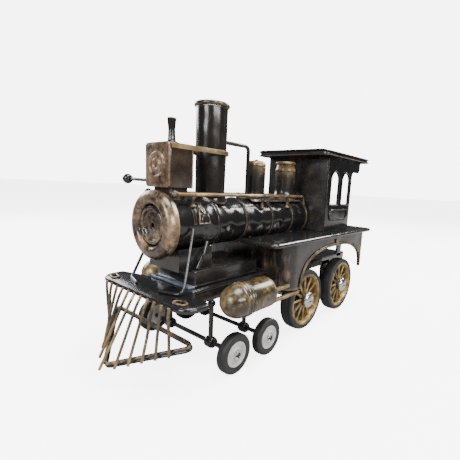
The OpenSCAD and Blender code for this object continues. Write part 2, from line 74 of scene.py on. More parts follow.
def eased(profile, radius=0.3, steps=3):
    """Profile with its corners rounded: each corner becomes a short parabola between its two sides."""
    p = np.asarray(profile, float)
    out = [p[0]]
    for before, corner, after in zip(p[:-2], p[1:-1], p[2:]):
        a, b = before - corner, after - corner
        la, lb = np.linalg.norm(a), np.linalg.norm(b)
        start, end = corner + a * min(radius / la, 0.45), corner + b * min(radius / lb, 0.45)
        t = np.linspace(0, 1, steps + 1)[:, None]
        out.extend((1 - t) ** 2 * start + 2 * t * (1 - t) * corner + t ** 2 * end)
    out.append(p[-1])
    return np.array(out)


def spin(profile, axis, centre, sides=96, loop=False, ripple=None):
    """Spins (radius, height) pairs: (r cos a, r sin a, h). ripple(a, h) is added to the radius."""
    p = np.asarray(profile, float)
    a = np.arange(sides) * TAU / sides
    r = p[:, 0, None] + 0 * a
    if ripple is not None:
        r = r + np.where(r > 0.01, ripple(a[None, :], p[:, 1, None]), 0)
    points = np.stack([r * np.cos(a), r * np.sin(a), p[:, 1, None] + 0 * a], -1)
    faces = grid_faces(len(p), sides, loop, True)
    return turned(points.reshape(-1, 3), axis, centre), faces


def bent(points, radius=3.0, steps=6):
    """Path through the points, with each corner eased by the radius."""
    return eased(points, radius, steps)


def sweep(path, radius, sides=14, closed=False):
    """Tube along a path: point + radius (N cos a + B sin a); open ends close in a small dome."""
    p = np.asarray(path, float)
    ahead = np.roll(p, -1, 0) - np.roll(p, 1, 0)
    if not closed:
        ahead[0], ahead[-1] = p[1] - p[0], p[-1] - p[-2]
    ahead /= np.linalg.norm(ahead, axis=1)[:, None]
    guide = np.eye(3)[np.abs(ahead).mean(0).argmin()]
    side = np.cross(ahead, guide)
    side /= np.linalg.norm(side, axis=1)[:, None]
    up = np.cross(side, ahead)
    r = np.broadcast_to(np.asarray(radius, float), len(p)).copy()
    if not closed:
        cap = np.array([0.0, 0.6, 0.88])
        lift = np.array([0.45, 0.3, 0.12]) * r[0]
        p = np.vstack([p[0] - ahead[0] * lift[:, None], p, (p[-1] + ahead[-1] * lift[:, None])[::-1]])
        side = np.vstack([side[[0] * 3], side, side[[-1] * 3]])
        up = np.vstack([up[[0] * 3], up, up[[-1] * 3]])
        r = np.concatenate([cap * r[0], r, (cap * r[-1])[::-1]])
    a = np.arange(sides) * TAU / sides
    circle = side[:, None] * np.cos(a)[None, :, None] + up[:, None] * np.sin(a)[None, :, None]
    points = p[:, None] + circle * r[:, None, None]
    return points.reshape(-1, 3), grid_faces(len(p), sides, closed, True)


def ball(centre, radius, axis="Z", squash=1.0):
    """Ball: half circle spun round an axis."""
    t = np.linspace(-np.pi / 2, np.pi / 2, 17)
    return spin(np.stack([radius * np.cos(t), radius * squash * np.sin(t)], 1), axis, centre, 32)


# %% [markdown]
# ## Flat sheet with holes
# A cab side is an outline with windows cut out. Blender's filled 2D curve does this directly: it
# fills between the loops, gives the sheet a thickness and rounds its edges. The curve is made a
# mesh at once, and a small function then stands the flat sheet up where it belongs.

# %% Outlines and plates
def arc(cx, cy, r, start, end, steps=10):
    """Points of an arc in degrees."""
    a = np.radians(np.linspace(start, end, steps + 1))
    return np.stack([cx + r * np.cos(a), cy + r * np.sin(a)], 1)


def round_rect(x0, x1, y0, y1, r, steps=8):
    """Rectangle with round corners, anticlockwise."""
    return np.vstack([arc(x1 - r, y1 - r, r, 0, 90, steps), arc(x0 + r, y1 - r, r, 90, 180, steps),
                      arc(x0 + r, y0 + r, r, 180, 270, steps), arc(x1 - r, y0 + r, r, 270, 360, steps)])


def plate(loops, low, high, place, edge=0.35):
    """Sheet between two levels with eased edges; place(a, b, level) gives its points in space."""
    curve = bpy.data.curves.new("sheet", "CURVE")
    curve.dimensions, curve.fill_mode = "2D", "BOTH"
    edge = min(edge, (high - low) * 0.45)
    curve.extrude, curve.bevel_depth = (high - low) / 2 - edge, edge
    curve.bevel_resolution, curve.offset = 2, -edge
    for loop in loops:
        spline = curve.splines.new("POLY")
        spline.points.add(len(loop) - 1)
        flat = np.column_stack([loop, np.zeros(len(loop)), np.ones(len(loop))])
        spline.points.foreach_set("co", flat.ravel())
        spline.use_cyclic_u = True
    holder = bpy.data.objects.new("sheet", curve)
    bpy.context.scene.collection.objects.link(holder)
    solid = bpy.data.meshes.new_from_object(holder.evaluated_get(bpy.context.evaluated_depsgraph_get()))
    points = np.zeros(len(solid.vertices) * 3)
    solid.vertices.foreach_get("co", points)
    points = points.reshape(-1, 3)
    faces = [tuple(f.vertices) for f in solid.polygons]
    bpy.data.objects.remove(holder)
    bpy.data.curves.remove(curve)
    bpy.data.meshes.remove(solid)
    level = points[:, 2] + (low + high) / 2
    return np.stack(place(points[:, 0], points[:, 1], level), 1), faces


def lying(a, b, level):
    """The sheet lies flat: its levels are heights."""
    return a, b, level


def facing_side(a, b, level):
    """The sheet stands along the locomotive: a is X, b is height, the level is Y."""
    return a, level, b


def facing_front(a, b, level):
    """The sheet stands across the locomotive: a is Y, b is height, the level is X."""
    return level, a, b


def block(low, high, edge=0.5):
    """Box of folded sheet: a plate as thick as the box is tall."""
    outline = round_rect(low[0], high[0], low[1], high[1], edge, 3)
    return plate([outline], low[2], high[2], lying, edge * 0.7)


def mirrored(shape):
    """The same shape on the other side of the centre line."""
    points, faces = shape
    return points * [1, -1, 1], faces


def both(shape):
    """A shape and its mirror image."""
    return [shape, mirrored(shape)]


# %% [markdown]
# ## Joining shapes
# A finished piece is often several shapes, such as a plate and its rolled lip. They become one
# mesh: points in the same place are welded and all faces turn outward. The mesh holds its place in
# space and the object stays at the origin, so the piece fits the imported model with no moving.

# %% Join shapes into one finished piece
SHARP_ANGLE = 38  # edges that turn by more than this many degrees stay crisp


def build(name, nodes, shapes, material, body="locomotive"):
    """One object from several shapes, welded, faces out, at the origin, riding on its body.
    A shape is (points, faces), or (points, faces, material number)."""
    points, faces, numbers, shift = [], [], [], 0
    for shape in shapes:
        v, f = shape[0], shape[1]
        points.append(v)
        faces.extend(tuple(int(i) + shift for i in row) for row in f)
        numbers.extend([shape[2] if len(shape) > 2 else 0] * len(f))
        shift += len(v)
    mesh = bpy.data.meshes.new(name)
    mesh.from_pydata((np.vstack(points) * MM).tolist(), [], faces)
    mesh.polygons.foreach_set("material_index", numbers)
    work = bmesh.new()
    work.from_mesh(mesh)
    bmesh.ops.remove_doubles(work, verts=work.verts, dist=1e-6)
    bmesh.ops.dissolve_degenerate(work, edges=work.edges, dist=1e-7)
    bmesh.ops.recalc_face_normals(work, faces=work.faces)
    work.to_mesh(mesh)
    work.free()
    mesh.shade_smooth()
    mesh.set_sharp_from_angle(angle=np.radians(SHARP_ANGLE))
    for m in material if isinstance(material, (list, tuple)) else [material]:
        mesh.materials.append(m)
    piece = bpy.data.objects.new(name, mesh)
    bpy.context.scene.collection.objects.link(piece)
    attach(piece, body)
    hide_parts(*nodes)
    print(f"{name}: {len(mesh.polygons)} faces")


# %% [markdown]
# ## Rubbed enamel
# The real toy is sprayed black and then rubbed with a nearly dry brush of copper or gold, which
# catches high spots and leaves streaks. One node group makes that mask from three noises and the
# mesh's own raised edges, and every painted metal here uses it with its own colours and amount.

# %% Node group: rubbed paint
def new_group(name, inputs, outputs):
    """Empty shader group with named sockets; returns it with its input and output nodes."""
    group = bpy.data.node_groups.new(name, "ShaderNodeTree")
    for label, kind, value in inputs:
        socket = group.interface.new_socket(label, in_out="INPUT", socket_type="NodeSocket" + kind)
        socket.default_value = value
    for label, kind in outputs:
        group.interface.new_socket(label, in_out="OUTPUT", socket_type="NodeSocket" + kind)
    return group, group.nodes.new("NodeGroupInput"), group.nodes.new("NodeGroupOutput")


def feed(tree, value, socket):
    """Links another socket to this input, or gives the input a plain value."""
    if isinstance(value, bpy.types.NodeSocket):
        tree.links.new(value, socket)
    else:
        socket.default_value = value


def maths(tree, operation, a, b, clamp=False):
    """Math node fed by sockets or numbers."""
    node = tree.nodes.new("ShaderNodeMath")
    node.operation, node.use_clamp = operation, clamp
    feed(tree, a, node.inputs[0])
    feed(tree, b, node.inputs[1])
    return node.outputs[0]


def blend_colour(tree, factor, a, b):
    """Mix node for colours fed by sockets or tuples."""
    node = tree.nodes.new("ShaderNodeMix")
    node.data_type = "RGBA"
    for value, socket in ((factor, 0), (a, 6), (b, 7)):
        feed(tree, value, node.inputs[socket])
    return node.outputs[2]


def noise(tree, vector, scale, detail=4.0, rough=0.55):
    """Noise value at a scale given per metre."""
    node = tree.nodes.new("ShaderNodeTexNoise")
    node.inputs["Detail"].default_value = detail
    node.inputs["Roughness"].default_value = rough
    tree.links.new(vector, node.inputs["Vector"])
    feed(tree, scale, node.inputs["Scale"])
    return node.outputs["Fac"]


def steps_between(tree, value, low, high):
    """0 below low, 1 above high, smooth between."""
    node = tree.nodes.new("ShaderNodeMapRange")
    node.interpolation_type = "SMOOTHSTEP"
    tree.links.new(value, node.inputs["Value"])
    feed(tree, low, node.inputs["From Min"])
    feed(tree, high, node.inputs["From Max"])
    return node.outputs["Result"]


def make_rubbed_group():
    """Mask = brushed streaks + cloudy patches + worn edges, pushed up or down by Coverage."""
    group, given, result = new_group("rubbed_paint", [
        ("Vector", "Vector", (0, 0, 0)), ("Stretch", "Vector", (1, 1, 1)), ("Coverage", "Float", 0.5),
        ("Edge wear", "Float", 0.6), ("Under", "Color", (0, 0, 0, 1)), ("Rub", "Color", (1, 1, 1, 1)),
        ("Rub dark", "Color", (0.5, 0.5, 0.5, 1))],
        [("Color", "Color"), ("Mask", "Float"), ("Height", "Float")])
    scaled = group.nodes.new("ShaderNodeVectorMath")
    scaled.operation = "MULTIPLY"
    group.links.new(given.outputs["Vector"], scaled.inputs[0])
    group.links.new(given.outputs["Stretch"], scaled.inputs[1])
    streaks = noise(group, scaled.outputs[0], 420.0, 5.0, 0.6)
    patches = noise(group, given.outputs["Vector"], 70.0, 2.0)
    tint = noise(group, given.outputs["Vector"], 120.0, 5.0)
    raised = group.nodes.new("ShaderNodeNewGeometry").outputs["Pointiness"]
    edge = maths(group, "MULTIPLY", steps_between(group, raised, 0.515, 0.6), given.outputs["Edge wear"])
    half_streaks = maths(group, "MULTIPLY", streaks, 0.5)
    mixed = maths(group, "ADD", half_streaks, maths(group, "MULTIPLY", patches, 0.5))
    low = maths(group, "SUBTRACT", 0.68, maths(group, "MULTIPLY", given.outputs["Coverage"], 0.4))
    mask = steps_between(group, mixed, low, maths(group, "ADD", low, 0.34))
    mask = maths(group, "ADD", mask, edge, True)
    shade = steps_between(group, tint, 0.35, 0.68)
    rub = blend_colour(group, shade, given.outputs["Rub dark"], given.outputs["Rub"])
    group.links.new(blend_colour(group, mask, given.outputs["Under"], rub), result.inputs["Color"])
    group.links.new(mask, result.inputs["Mask"])
    group.links.new(maths(group, "ADD", half_streaks, mask), result.inputs["Height"])
    return group


def make_dents_group():
    """Height of hand-beaten sheet: broad hollows plus a fine orange peel."""
    group, given, result = new_group("beaten_sheet", [
        ("Vector", "Vector", (0, 0, 0)), ("Broad", "Float", 60.0), ("Peel", "Float", 0.04)],
        [("Height", "Float")])
    broad = noise(group, given.outputs["Vector"], given.outputs["Broad"], 1.0)
    peel = noise(group, given.outputs["Vector"], 1400.0, 2.0)
    fine = maths(group, "MULTIPLY", peel, given.outputs["Peel"])
    group.links.new(maths(group, "ADD", broad, fine), result.inputs["Height"])
    return group


RUBBED, DENTS = make_rubbed_group(), make_dents_group()
print("node groups:", RUBBED.name, DENTS.name)


# %% [markdown]
# ## Painted metal
# Every painted part is the same recipe with other numbers: a dark under coat, a metallic rub and
# how far the rub covers it. The mask also sets where the surface is metallic and how rough it is,
# and two bumps are stacked, broad dents first and the grain of the paint on top.

# %% Painted metal from the two groups
DENT_HEIGHT, GRAIN_HEIGHT = 0.0016, 0.00012


def new_material(name):
    """Empty material: itself, its tree, its shader and the coordinates that stay with the piece."""
    material = bpy.data.materials.new(name)
    material.use_nodes = True
    tree = material.node_tree
    place = tree.nodes.new("ShaderNodeTexCoord").outputs["Object"]
    return material, tree, tree.nodes["Principled BSDF"], place


def put_group(tree, group, vector):
    """Places a node group in a material and feeds its Vector."""
    node = tree.nodes.new("ShaderNodeGroup")
    node.node_tree = group
    tree.links.new(vector, node.inputs["Vector"])
    return node


def bump(tree, height, strength, distance, before=None):
    """Bump node: a height becomes a normal, added to an earlier normal where one is given."""
    node = tree.nodes.new("ShaderNodeBump")
    node.inputs["Strength"].default_value, node.inputs["Distance"].default_value = strength, distance
    tree.links.new(height, node.inputs["Height"])
    if before is not None:
        tree.links.new(before, node.inputs["Normal"])
    return node.outputs["Normal"]


def painted(name, under, rub, rub_dark, coverage, stretch=(1, 1, 1), edge=0.6, metal=0.85,
            rough=(0.26, 0.42), dent_depth=0.5, coat=0.3, fade=None):
    """Enamel under a rubbed metallic paint; the mask drives colour, metallic and roughness.
    fade = (x0, x1, c0, c1) lets the coverage go from c0 at x0 to c1 at x1, in metres along X."""
    material, tree, shader, place = new_material(name)
    rubbed = put_group(tree, RUBBED, place)
    for label, value in (("Stretch", stretch), ("Coverage", coverage), ("Edge wear", edge),
                         ("Under", (*under, 1)), ("Rub", (*rub, 1)), ("Rub dark", (*rub_dark, 1))):
        rubbed.inputs[label].default_value = value
    if fade:
        x0, x1, c0, c1 = fade
        along = tree.nodes.new("ShaderNodeSeparateXYZ")
        tree.links.new(place, along.inputs[0])
        share = steps_between(tree, along.outputs["X"], x0, x1)
        amount = maths(tree, "ADD", maths(tree, "MULTIPLY", share, c1 - c0), c0)
        tree.links.new(amount, rubbed.inputs["Coverage"])
    beaten = put_group(tree, DENTS, place)
    smudge = noise(tree, place, 90.0, 5.0)
    spread = maths(tree, "MULTIPLY", maths(tree, "SUBTRACT", smudge, 0.5), 0.3)
    worn = maths(tree, "MULTIPLY", rubbed.outputs["Mask"], rough[1] - rough[0])
    roughness = maths(tree, "ADD", maths(tree, "ADD", worn, rough[0]), spread, True)
    tree.links.new(roughness, shader.inputs["Roughness"])
    tree.links.new(rubbed.outputs["Color"], shader.inputs["Base Color"])
    tree.links.new(maths(tree, "MULTIPLY", rubbed.outputs["Mask"], metal), shader.inputs["Metallic"])
    shader.inputs["Coat Weight"].default_value = coat
    shader.inputs["Coat Roughness"].default_value = 0.12
    dents = bump(tree, beaten.outputs["Height"], dent_depth, DENT_HEIGHT)
    grain = bump(tree, rubbed.outputs["Height"], 0.35, GRAIN_HEIGHT, dents)
    tree.links.new(grain, shader.inputs["Normal"])
    return material


BLACK = (0.008, 0.008, 0.009)
COPPER, COPPER_DARK = (0.50, 0.31, 0.18), (0.10, 0.062, 0.04)
GOLD, GOLD_DARK = (0.60, 0.43, 0.22), (0.26, 0.17, 0.08)
enamel = painted("black_enamel", BLACK, (0.16, 0.13, 0.10), (0.05, 0.045, 0.04), 0.04, edge=0.2,
                 rough=(0.2, 0.42))
roof_paint = painted("roof_enamel", (0.010, 0.009, 0.010), (0.24, 0.17, 0.11), (0.07, 0.05, 0.04), 0.16,
                     stretch=(0.3, 1, 1), rough=(0.3, 0.45))
gilt, gilt_worn = [painted(name, BLACK, GOLD, GOLD_DARK, coverage, metal=0.75, dent_depth=0.15, coat=0.1)
                   for name, coverage in (("gilt_wire", 0.62), ("gilt_wire_worn", 0.3))]
copper = painted("copper_rubbed", (0.016, 0.012, 0.010), (0.62, 0.42, 0.25), (0.26, 0.16, 0.09), 0.76,
                 edge=0.8)
streaked = painted("copper_streaked", (0.012, 0.010, 0.009), COPPER, COPPER_DARK, 0.26,
                   stretch=(1.6, 1.6, 0.14), metal=0.75, rough=(0.24, 0.38))
brass = painted("old_brass", (0.03, 0.022, 0.012), (0.60, 0.44, 0.20), (0.26, 0.17, 0.07), 0.66, edge=0.7)
brass_dark = painted("old_brass_dark", (0.012, 0.010, 0.008), (0.46, 0.32, 0.16), (0.17, 0.11, 0.05), 0.4,
                     stretch=(1, 1, 0.4), edge=0.5, metal=0.75)
skirt_paint = painted("skirt_rubbed", (0.014, 0.012, 0.011), (0.36, 0.25, 0.15), (0.12, 0.08, 0.055), 0.4,
                      stretch=(0.8, 0.8, 0.5), edge=0.4, metal=0.7)
wheel_gold = painted("gilt_wheel", (0.045, 0.028, 0.012), (0.66, 0.47, 0.17), (0.36, 0.23, 0.07), 0.74,
                     metal=0.6, rough=(0.35, 0.45), dent_depth=0.1)
print("painted finishes:", enamel.name, roof_paint.name, gilt.name, copper.name, brass.name)


# %% [markdown]
# ## Rubber, plastic and bright steel
# Rubber is dark, matt and a little dusty; moulded plastic is smooth with faint mottling; the screw
# heads are plated steel. None of them is painted, so each gets its own small material.

# %% Plain finishes
GRIT_HEIGHT = 0.0002


def plain(name, light, dark, scale, rough, metal=0.0, strength=0.3):
    """Two close tones mottled by noise, with the same noise roughening the surface."""
    material, tree, shader, place = new_material(name)
    cloud, grit = noise(tree, place, scale, 5.0), noise(tree, place, scale * 12, 3.0)
    tone = blend_colour(tree, steps_between(tree, cloud, 0.35, 0.7), (*dark, 1), (*light, 1))
    tree.links.new(tone, shader.inputs["Base Color"])
    spread = maths(tree, "MULTIPLY", maths(tree, "SUBTRACT", cloud, 0.5), 0.25)
    tree.links.new(maths(tree, "ADD", spread, rough, True), shader.inputs["Roughness"])
    shader.inputs["Metallic"].default_value = metal
    tree.links.new(bump(tree, grit, strength, GRIT_HEIGHT), shader.inputs["Normal"])
    return material


rubber = plain("rubber", (0.018, 0.018, 0.019), (0.008, 0.008, 0.009), 110.0, 0.55)
grey_plastic = plain("grey_hub", (0.62, 0.63, 0.61), (0.42, 0.44, 0.44), 140.0, 0.42, strength=0.15)
steel = plain("plated_steel", (0.78, 0.79, 0.80), (0.52, 0.53, 0.55), 160.0, 0.24, metal=1.0, strength=0.12)
# Pale bluish sheet for the strip in front of the saddle: its colour is a painted reflection of the light on
# that edge.
sky_reflection_paint = plain("painted_sky_reflection", (0.34, 0.40, 0.50), (0.10, 0.12, 0.17), 60.0, 0.3, metal=0.6)
print("plain finishes:", rubber.name, grey_plastic.name, steel.name, sky_reflection_paint.name)


# %% [markdown]
# ## More ways to make a surface
# A shell is two grids, an outer and an inner skin, joined round their border; it suits bent sheet.
# A strip carries one closed section along the locomotive. A saddled ring ends on the round boiler.

# %% Shell, strip and saddled ring
AXIS = 85.0  # height of the boiler's centre line


def shell(front, back):
    """Closed sheet between two grids of the same size."""
    rows, columns = front.shape[:2]
    count = rows * columns
    faces = grid_faces(rows, columns)
    index = np.arange(count).reshape(rows, columns)
    border = np.concatenate([index[0, :-1], index[:-1, -1], index[-1, :0:-1], index[:0:-1, 0]])
    ahead = np.roll(border, -1)
    walls = np.stack([border, border + count, ahead + count, ahead], 1)
    points = np.vstack([front.reshape(-1, 3), back.reshape(-1, 3)])
    return points, np.vstack([faces[:, ::-1], faces + count, walls[:, ::-1]])


def strip(section, stations):
    """Closed section of (y, z) points carried along the X stations, with flat ends."""
    s, x = np.asarray(section, float), np.asarray(stations, float)
    n, m = len(s), len(x)
    points = np.concatenate([np.repeat(x, n)[:, None], np.tile(s, (m, 1))], 1)
    faces = [tuple(row) for row in grid_faces(m, n, False, True)]
    return points, faces + [tuple(range(n)), tuple(range(n * m - 1, n * (m - 1) - 1, -1))]


def saddled(x, top, rows, under, loop=False):
    """Rows of (radius, t): z = top at t = 0, and z = AXIS + sqrt(under^2 - y^2) at t = 1."""
    p = np.asarray(rows, float)
    a = np.arange(96) * TAU / 96
    px, py = x + p[:, :1] * np.cos(a), p[:, :1] * np.sin(a)
    seat = AXIS + np.sqrt(under ** 2 - py ** 2)
    pz = top + (seat - top) * p[:, 1:]
    return np.stack([px, py, pz], -1).reshape(-1, 3), grid_faces(len(p), 96, loop, True)


def hollows(depth, waves, phase=0.0, along=0.11):
    """Ripple for spin: shallow inward dents, -depth (1 + round x lengthwise) / 2."""
    def ripple(a, h):
        """Round = sin(waves a + along h + phase), lengthwise = cos(1.7 along h - phase)."""
        return -depth * (1 + np.sin(waves * a + along * h + phase) * np.cos(along * 1.7 * h - phase)) / 2
    return ripple


def dented(depth, phase=0.0):
    """Ripple with knocks in it: waves along the tube crossed with waves round it."""
    def ripple(a, h):
        """Two waves round the tube times one along it; the power keeps each knock small."""
        crossed = np.sin(2 * a + 0.17 * h + phase) * np.sin(3 * a - 0.29 * h + 2 * phase)
        knock = crossed * np.cos(0.11 * h - phase)
        return -depth * (0.15 + np.abs(knock) ** 1.5 + 0.1 * np.cos(a + 0.4 * h))
    return ripple


def pipe_wall(length, outer, inner, steps=48):
    """Closed section of a tube: (radius, height) up the outside and down the inside."""
    h = np.linspace(0.35, length - 0.35, steps)
    outside = np.column_stack([np.full(steps, outer), h])
    return np.vstack([[[inner, 0], [outer - 0.35, 0], [outer - 0.1, 0.1]], outside,
                      [[outer - 0.1, length - 0.1], [outer - 0.35, length], [inner, length]]])


def ring(radius, thick, axis, centre):
    """Torus: a small circle spun round the axis."""
    t = np.arange(20) * TAU / 20
    return spin(np.column_stack([radius + thick * np.cos(t), thick * np.sin(t)]), axis, centre, 112, True)


print("surface tools ready")


# %% [markdown]
# ## Pilot
# The cowcatcher is one wire bent to a triangle and laid double: a gilt one above a black one. Eleven
# straight wires are soldered to its outside and lean back to the deck. Each is a circle carried
# along a path whose corners are eased, so nothing looks like cut rod.

# %% Pilot wires
TIP, CORNER = np.array([124.4, 0, 11.4]), np.array([96, 40.5, 26])
drop, reach = CORNER[2] - TIP[2], np.hypot(TIP[0] - CORNER[0], CORNER[2] - TIP[2])


def pilot_loop(rise):
    """Closed triangle in a plane tilted down to the tip: (x, z) = corner + turn (u, rise)."""
    slope = np.array([-reach, CORNER[1]]) / np.hypot(reach, CORNER[1]) * 4.5
    a, b = np.array([0, CORNER[1]]) - slope, np.array([0, CORNER[1] - 4.5])
    flat = np.array([[reach / 2, CORNER[1] / 2], a, b, b * [1, -1], a * [1, -1], [reach / 2, -CORNER[1] / 2],
                     [reach, 0], [reach / 2, CORNER[1] / 2]])
    flat = eased(flat, 3.2, 6)[:-1]
    c, s = (TIP[0] - CORNER[0]) / reach, drop / reach
    x, z = CORNER[0] + flat[:, 0] * c + rise * s, CORNER[2] - flat[:, 0] * s + rise * c
    return np.column_stack([x, flat[:, 1], z])


build("pilot_loop_wires", ["pilot_frame"],
      [(*sweep(pilot_loop(rise), 0.98, 16, True), paint) for rise, paint in ((1.05, 0), (-1.05, 1))],
      [gilt, enamel])

bars = []
run = CORNER - TIP
normal = np.array([run[1], -run[0]]) / np.hypot(run[0], run[1])
for i in range(-5, 6):
    at, head = TIP + run * 0.144 * abs(i), np.array([106.85, 6.3 * abs(i), 47.7])
    way = normal if i else np.array([1, 0])
    lean = max(0, (at - head)[:2] @ way / (head[2] - at[2]))
    foot = at + [*(way * ((2.7 if i else 1.4) + 3.5 * lean)), -1]
    knee = foot + (head - foot) * 0.84 + [0.5, 0.35 * np.sin(3.1 * i + 1), 0]
    belly = foot + (head - foot) * 0.45 + [0.15, 0.4 * np.cos(2.3 * i), 0]
    path = bent([foot, belly, knee, head], 4.0) * [1, -1 if i < 0 else 1, 1]
    bars.append((*sweep(path, 0.8, 12), int(i % 3 == 1)))
build("pilot_bar_wires", ["pilot_bars"], bars, [gilt, gilt_worn])


# %% [markdown]
# ## Front deck
# The deck is thin sheet whose edge is rolled over a wire. A plate with a tube swept along its
# outline gives exactly that fat, light-catching lip. Two long eyelets sit on its corners, and two
# braces run from the smokebox down to feet bent inward on the deck.

# %% Deck, eyelets and braces
def deck_outline(inset):
    """Wide wings at the front and a tail under the saddle, anticlockwise."""
    wing = [arc(97, 34.2, 9 - inset, 0, 90), arc(92, 40.2, 3 - inset, 90, 180, 5)]
    half, back = 22 - inset, 20 + inset
    tail = np.array([[84, half], [back, half], [back, -half], [84, -half]])
    return np.vstack([*wing, tail, arc(92, -40.2, 3 - inset, 180, 270, 5),
                      arc(97, -34.2, 9 - inset, 270, 360)])


def at_height(line, z):
    """Flat (x, y) outline lifted to one height; further columns are dropped."""
    return np.column_stack([line[:, :2], np.full(len(line), z)])


deck_lip = sweep(at_height(deck_outline(1.75), 47.2), 1.72, 14, True)
build("rolled_front_deck", ["front_deck"],
      [plate([deck_outline(0.8)], 47.8, 48.96, lying), deck_lip], enamel)

eyelets = []
for s in (1, -1):
    oval = round_rect(-2.0, 2.0, -3.8, 3.8, 1.9)
    c, n = np.cos(np.radians(12 * s)), np.sin(np.radians(12 * s))
    x, y = 101.2 + oval[:, 0] * c - oval[:, 1] * n, s * 33 + oval[:, 0] * n + oval[:, 1] * c
    eyelets.append(sweep(at_height(np.column_stack([x, y]), 49.5)[:-1], 0.58, 12, True))
build("gilt_eyelets", ["deck_eyelets"], eyelets, gilt)

brace = bent([[81, 17.95, 84], [88, 22.2, 64], [92.9, 25, 51], [95.4, 23, 49.9], [99, 11, 49.9]], 3.0)
build("smokebox_braces", ["brace_rods"], both(sweep(brace, 0.9, 16)), enamel)


# %% [markdown]
# ## Smokebox
# Its face is a fat rolled ring round a sunk door with its own raised ring and a bolt hole. All are
# spun profiles; the ring keeps a black groove inside it, where the brush did not reach.

# %% Smokebox ring, door and drum
outer_ring = [[11.8, 0], [19.2, 0], *arc(15.8, 3.2, 4.2, -20, 90, 12), *arc(15, 4.2, 3.2, 90, 168, 8)]
inner_ring = [*arc(15, 4.2, 3.2, 168, 180, 3), [11.8, 0]]
build("smokebox_ring", ["smokebox_rim"],
      [(*spin(profile, "X", (91, 0, AXIS), 128, False, hollows(0.12, 5)), paint)
       for profile, paint in ((outer_ring, 0), (inner_ring, 1))], [copper, enamel])

door = eased([[0, 0], [11.2, 0], [11.2, 5.1], *arc(9.9, 5.25, 1.25, 0, 180, 10), [7.8, 4.5],
              [3.4, 5.1], [2.4, 5.3], [1.5, 5.1], [1.5, 2.4], [0, 2.4]], 0.25, 2)
build("sunk_door", ["smokebox_door"], [spin(door, "X", (90.4, 0, AXIS), 112)], copper)

RIVET_ROW = 16.35
rivets = [ball((89.4, RIVET_ROW * np.cos(a), AXIS + RIVET_ROW * np.sin(a)), 0.5)
          for a in np.arange(44) * TAU / 44]
build("dented_drum", ["smokebox_drum"],
      [spin(pipe_wall(30.9, 16.6, 15.4), "X", (59.5, 0, AXIS), 144, True, dented(0.45, 0.6)), *rivets],
      enamel)


# %% [markdown]
# ## Boiler
# Hand-rolled sheet is never quite round, so the barrel's radius carries shallow waves, always
# inward. Bands, a curved plate for the domes and two rails on turned posts dress it.

# %% Barrel, bands and dome plate
build("dented_barrel", ["boiler_barrel"],
      [spin(pipe_wall(110.6, 15.3, 14.1, 90), "X", (-51.5, 0, AXIS), 144, True, dented(0.55, 1.3))], enamel)

BANDS_X = (57.8, 31, 1, -26, -48.6)
band = eased([[15.1, 0], [16.1, 0], [16.2, 1.3], [16.1, 2.6], [15.1, 2.6]], 0.3, 3)
clasps = [ball((x, 0, AXIS - 16.2), 0.9, "Z", 0.6) for x in BANDS_X[:-1]]
build("boiler_straps", ["boiler_bands"],
      [spin(band, "X", (x - 1.3, 0, AXIS), 128, True) for x in BANDS_X] + clasps, gilt_worn)

x, t = np.meshgrid(np.linspace(-46.3, 19.3, 60), np.linspace(-0.61, 0.61, 17), indexing="ij")
edge = np.minimum(np.minimum(19.3 - x, x + 46.3), (0.61 - np.abs(t)) * 17) / 0.9
lift = 17.3 - 0.45 * (1 - np.clip(edge, 0, 1)) ** 2 - 0.08 * (1 + np.sin(0.5 * x) * np.cos(6 * t)) / 2
build("curved_dome_plate", ["dome_plate"],
      [shell(np.stack([x, lift * np.sin(t), AXIS + lift * np.cos(t)], -1),
             np.stack([x, 16.25 * np.sin(t), AXIS + 16.25 * np.cos(t)], -1))], skirt_paint)


# %% [markdown]
# ## Rails and badge
# A rail is a round bar hooked down at the cab, with a ball at its front end and three turned posts.
# The badge on the smokebox is pressed in relief: a height over a shield shape, wrapped on the drum.

# %% Rails and badges
RAIL_Y, RAIL_Z = 12.5, 103
rail = bent([[90, RAIL_Y, RAIL_Z], [-43.6, RAIL_Y, RAIL_Z], [-45.1, 13.2, 95.6]], 2.2)
rail_shapes = [sweep(rail, 1.1, 16), ball((90, RAIL_Y, RAIL_Z), 2.25)]
for post in (77, 12, -20):
    seat = AXIS + np.sqrt((16.7 if post > 59 else 15.4) ** 2 - RAIL_Y ** 2) - 0.2
    stem = eased([[0, 0], [2.1, 0], [2.1, 0.9], [1.2, 1.5], [1.2, 102 - seat], [1.9, 102.4 - seat],
                  [1.9, 103.8 - seat], [1.1, 104.3 - seat], [0, 104.4 - seat]], 0.4, 2)
    rail_shapes.append(spin(stem, "Z", (post, RAIL_Y, seat), 24))
build("hand_rails", ["handrails"],
      [shape for one in rail_shapes for shape in both(one)], gilt)

v, u = np.meshgrid(np.linspace(0, 1, 40), np.linspace(-1, 1, 25), indexing="ij")
half = np.interp(v[:, :1], [0, 0.57, 0.87, 0.96, 1], [4.6, 3.4, 2.2, 1.2, 0.3]) * u
height = 86 + 12.2 * v
border = np.clip((1 - np.abs(u)) * 4, 0, 1) * np.clip(np.minimum(v, 1 - v) * 12, 0, 1)
figure = np.exp(-((u / 0.45) ** 2 + ((v - 0.45) / 0.25) ** 2) ** 2) + 0.5 * np.cos(9 * u) * np.cos(14 * v)
radius = 16.75 + 0.5 * (1 - border ** 2) * (border > 0) + 0.35 * border * figure.clip(0)


def on_drum(r):
    """Puts the shield's grid on a cylinder of radius r about the boiler's axis."""
    return np.stack([71 + half, np.sqrt(r ** 2 - (height - AXIS) ** 2), height], -1)


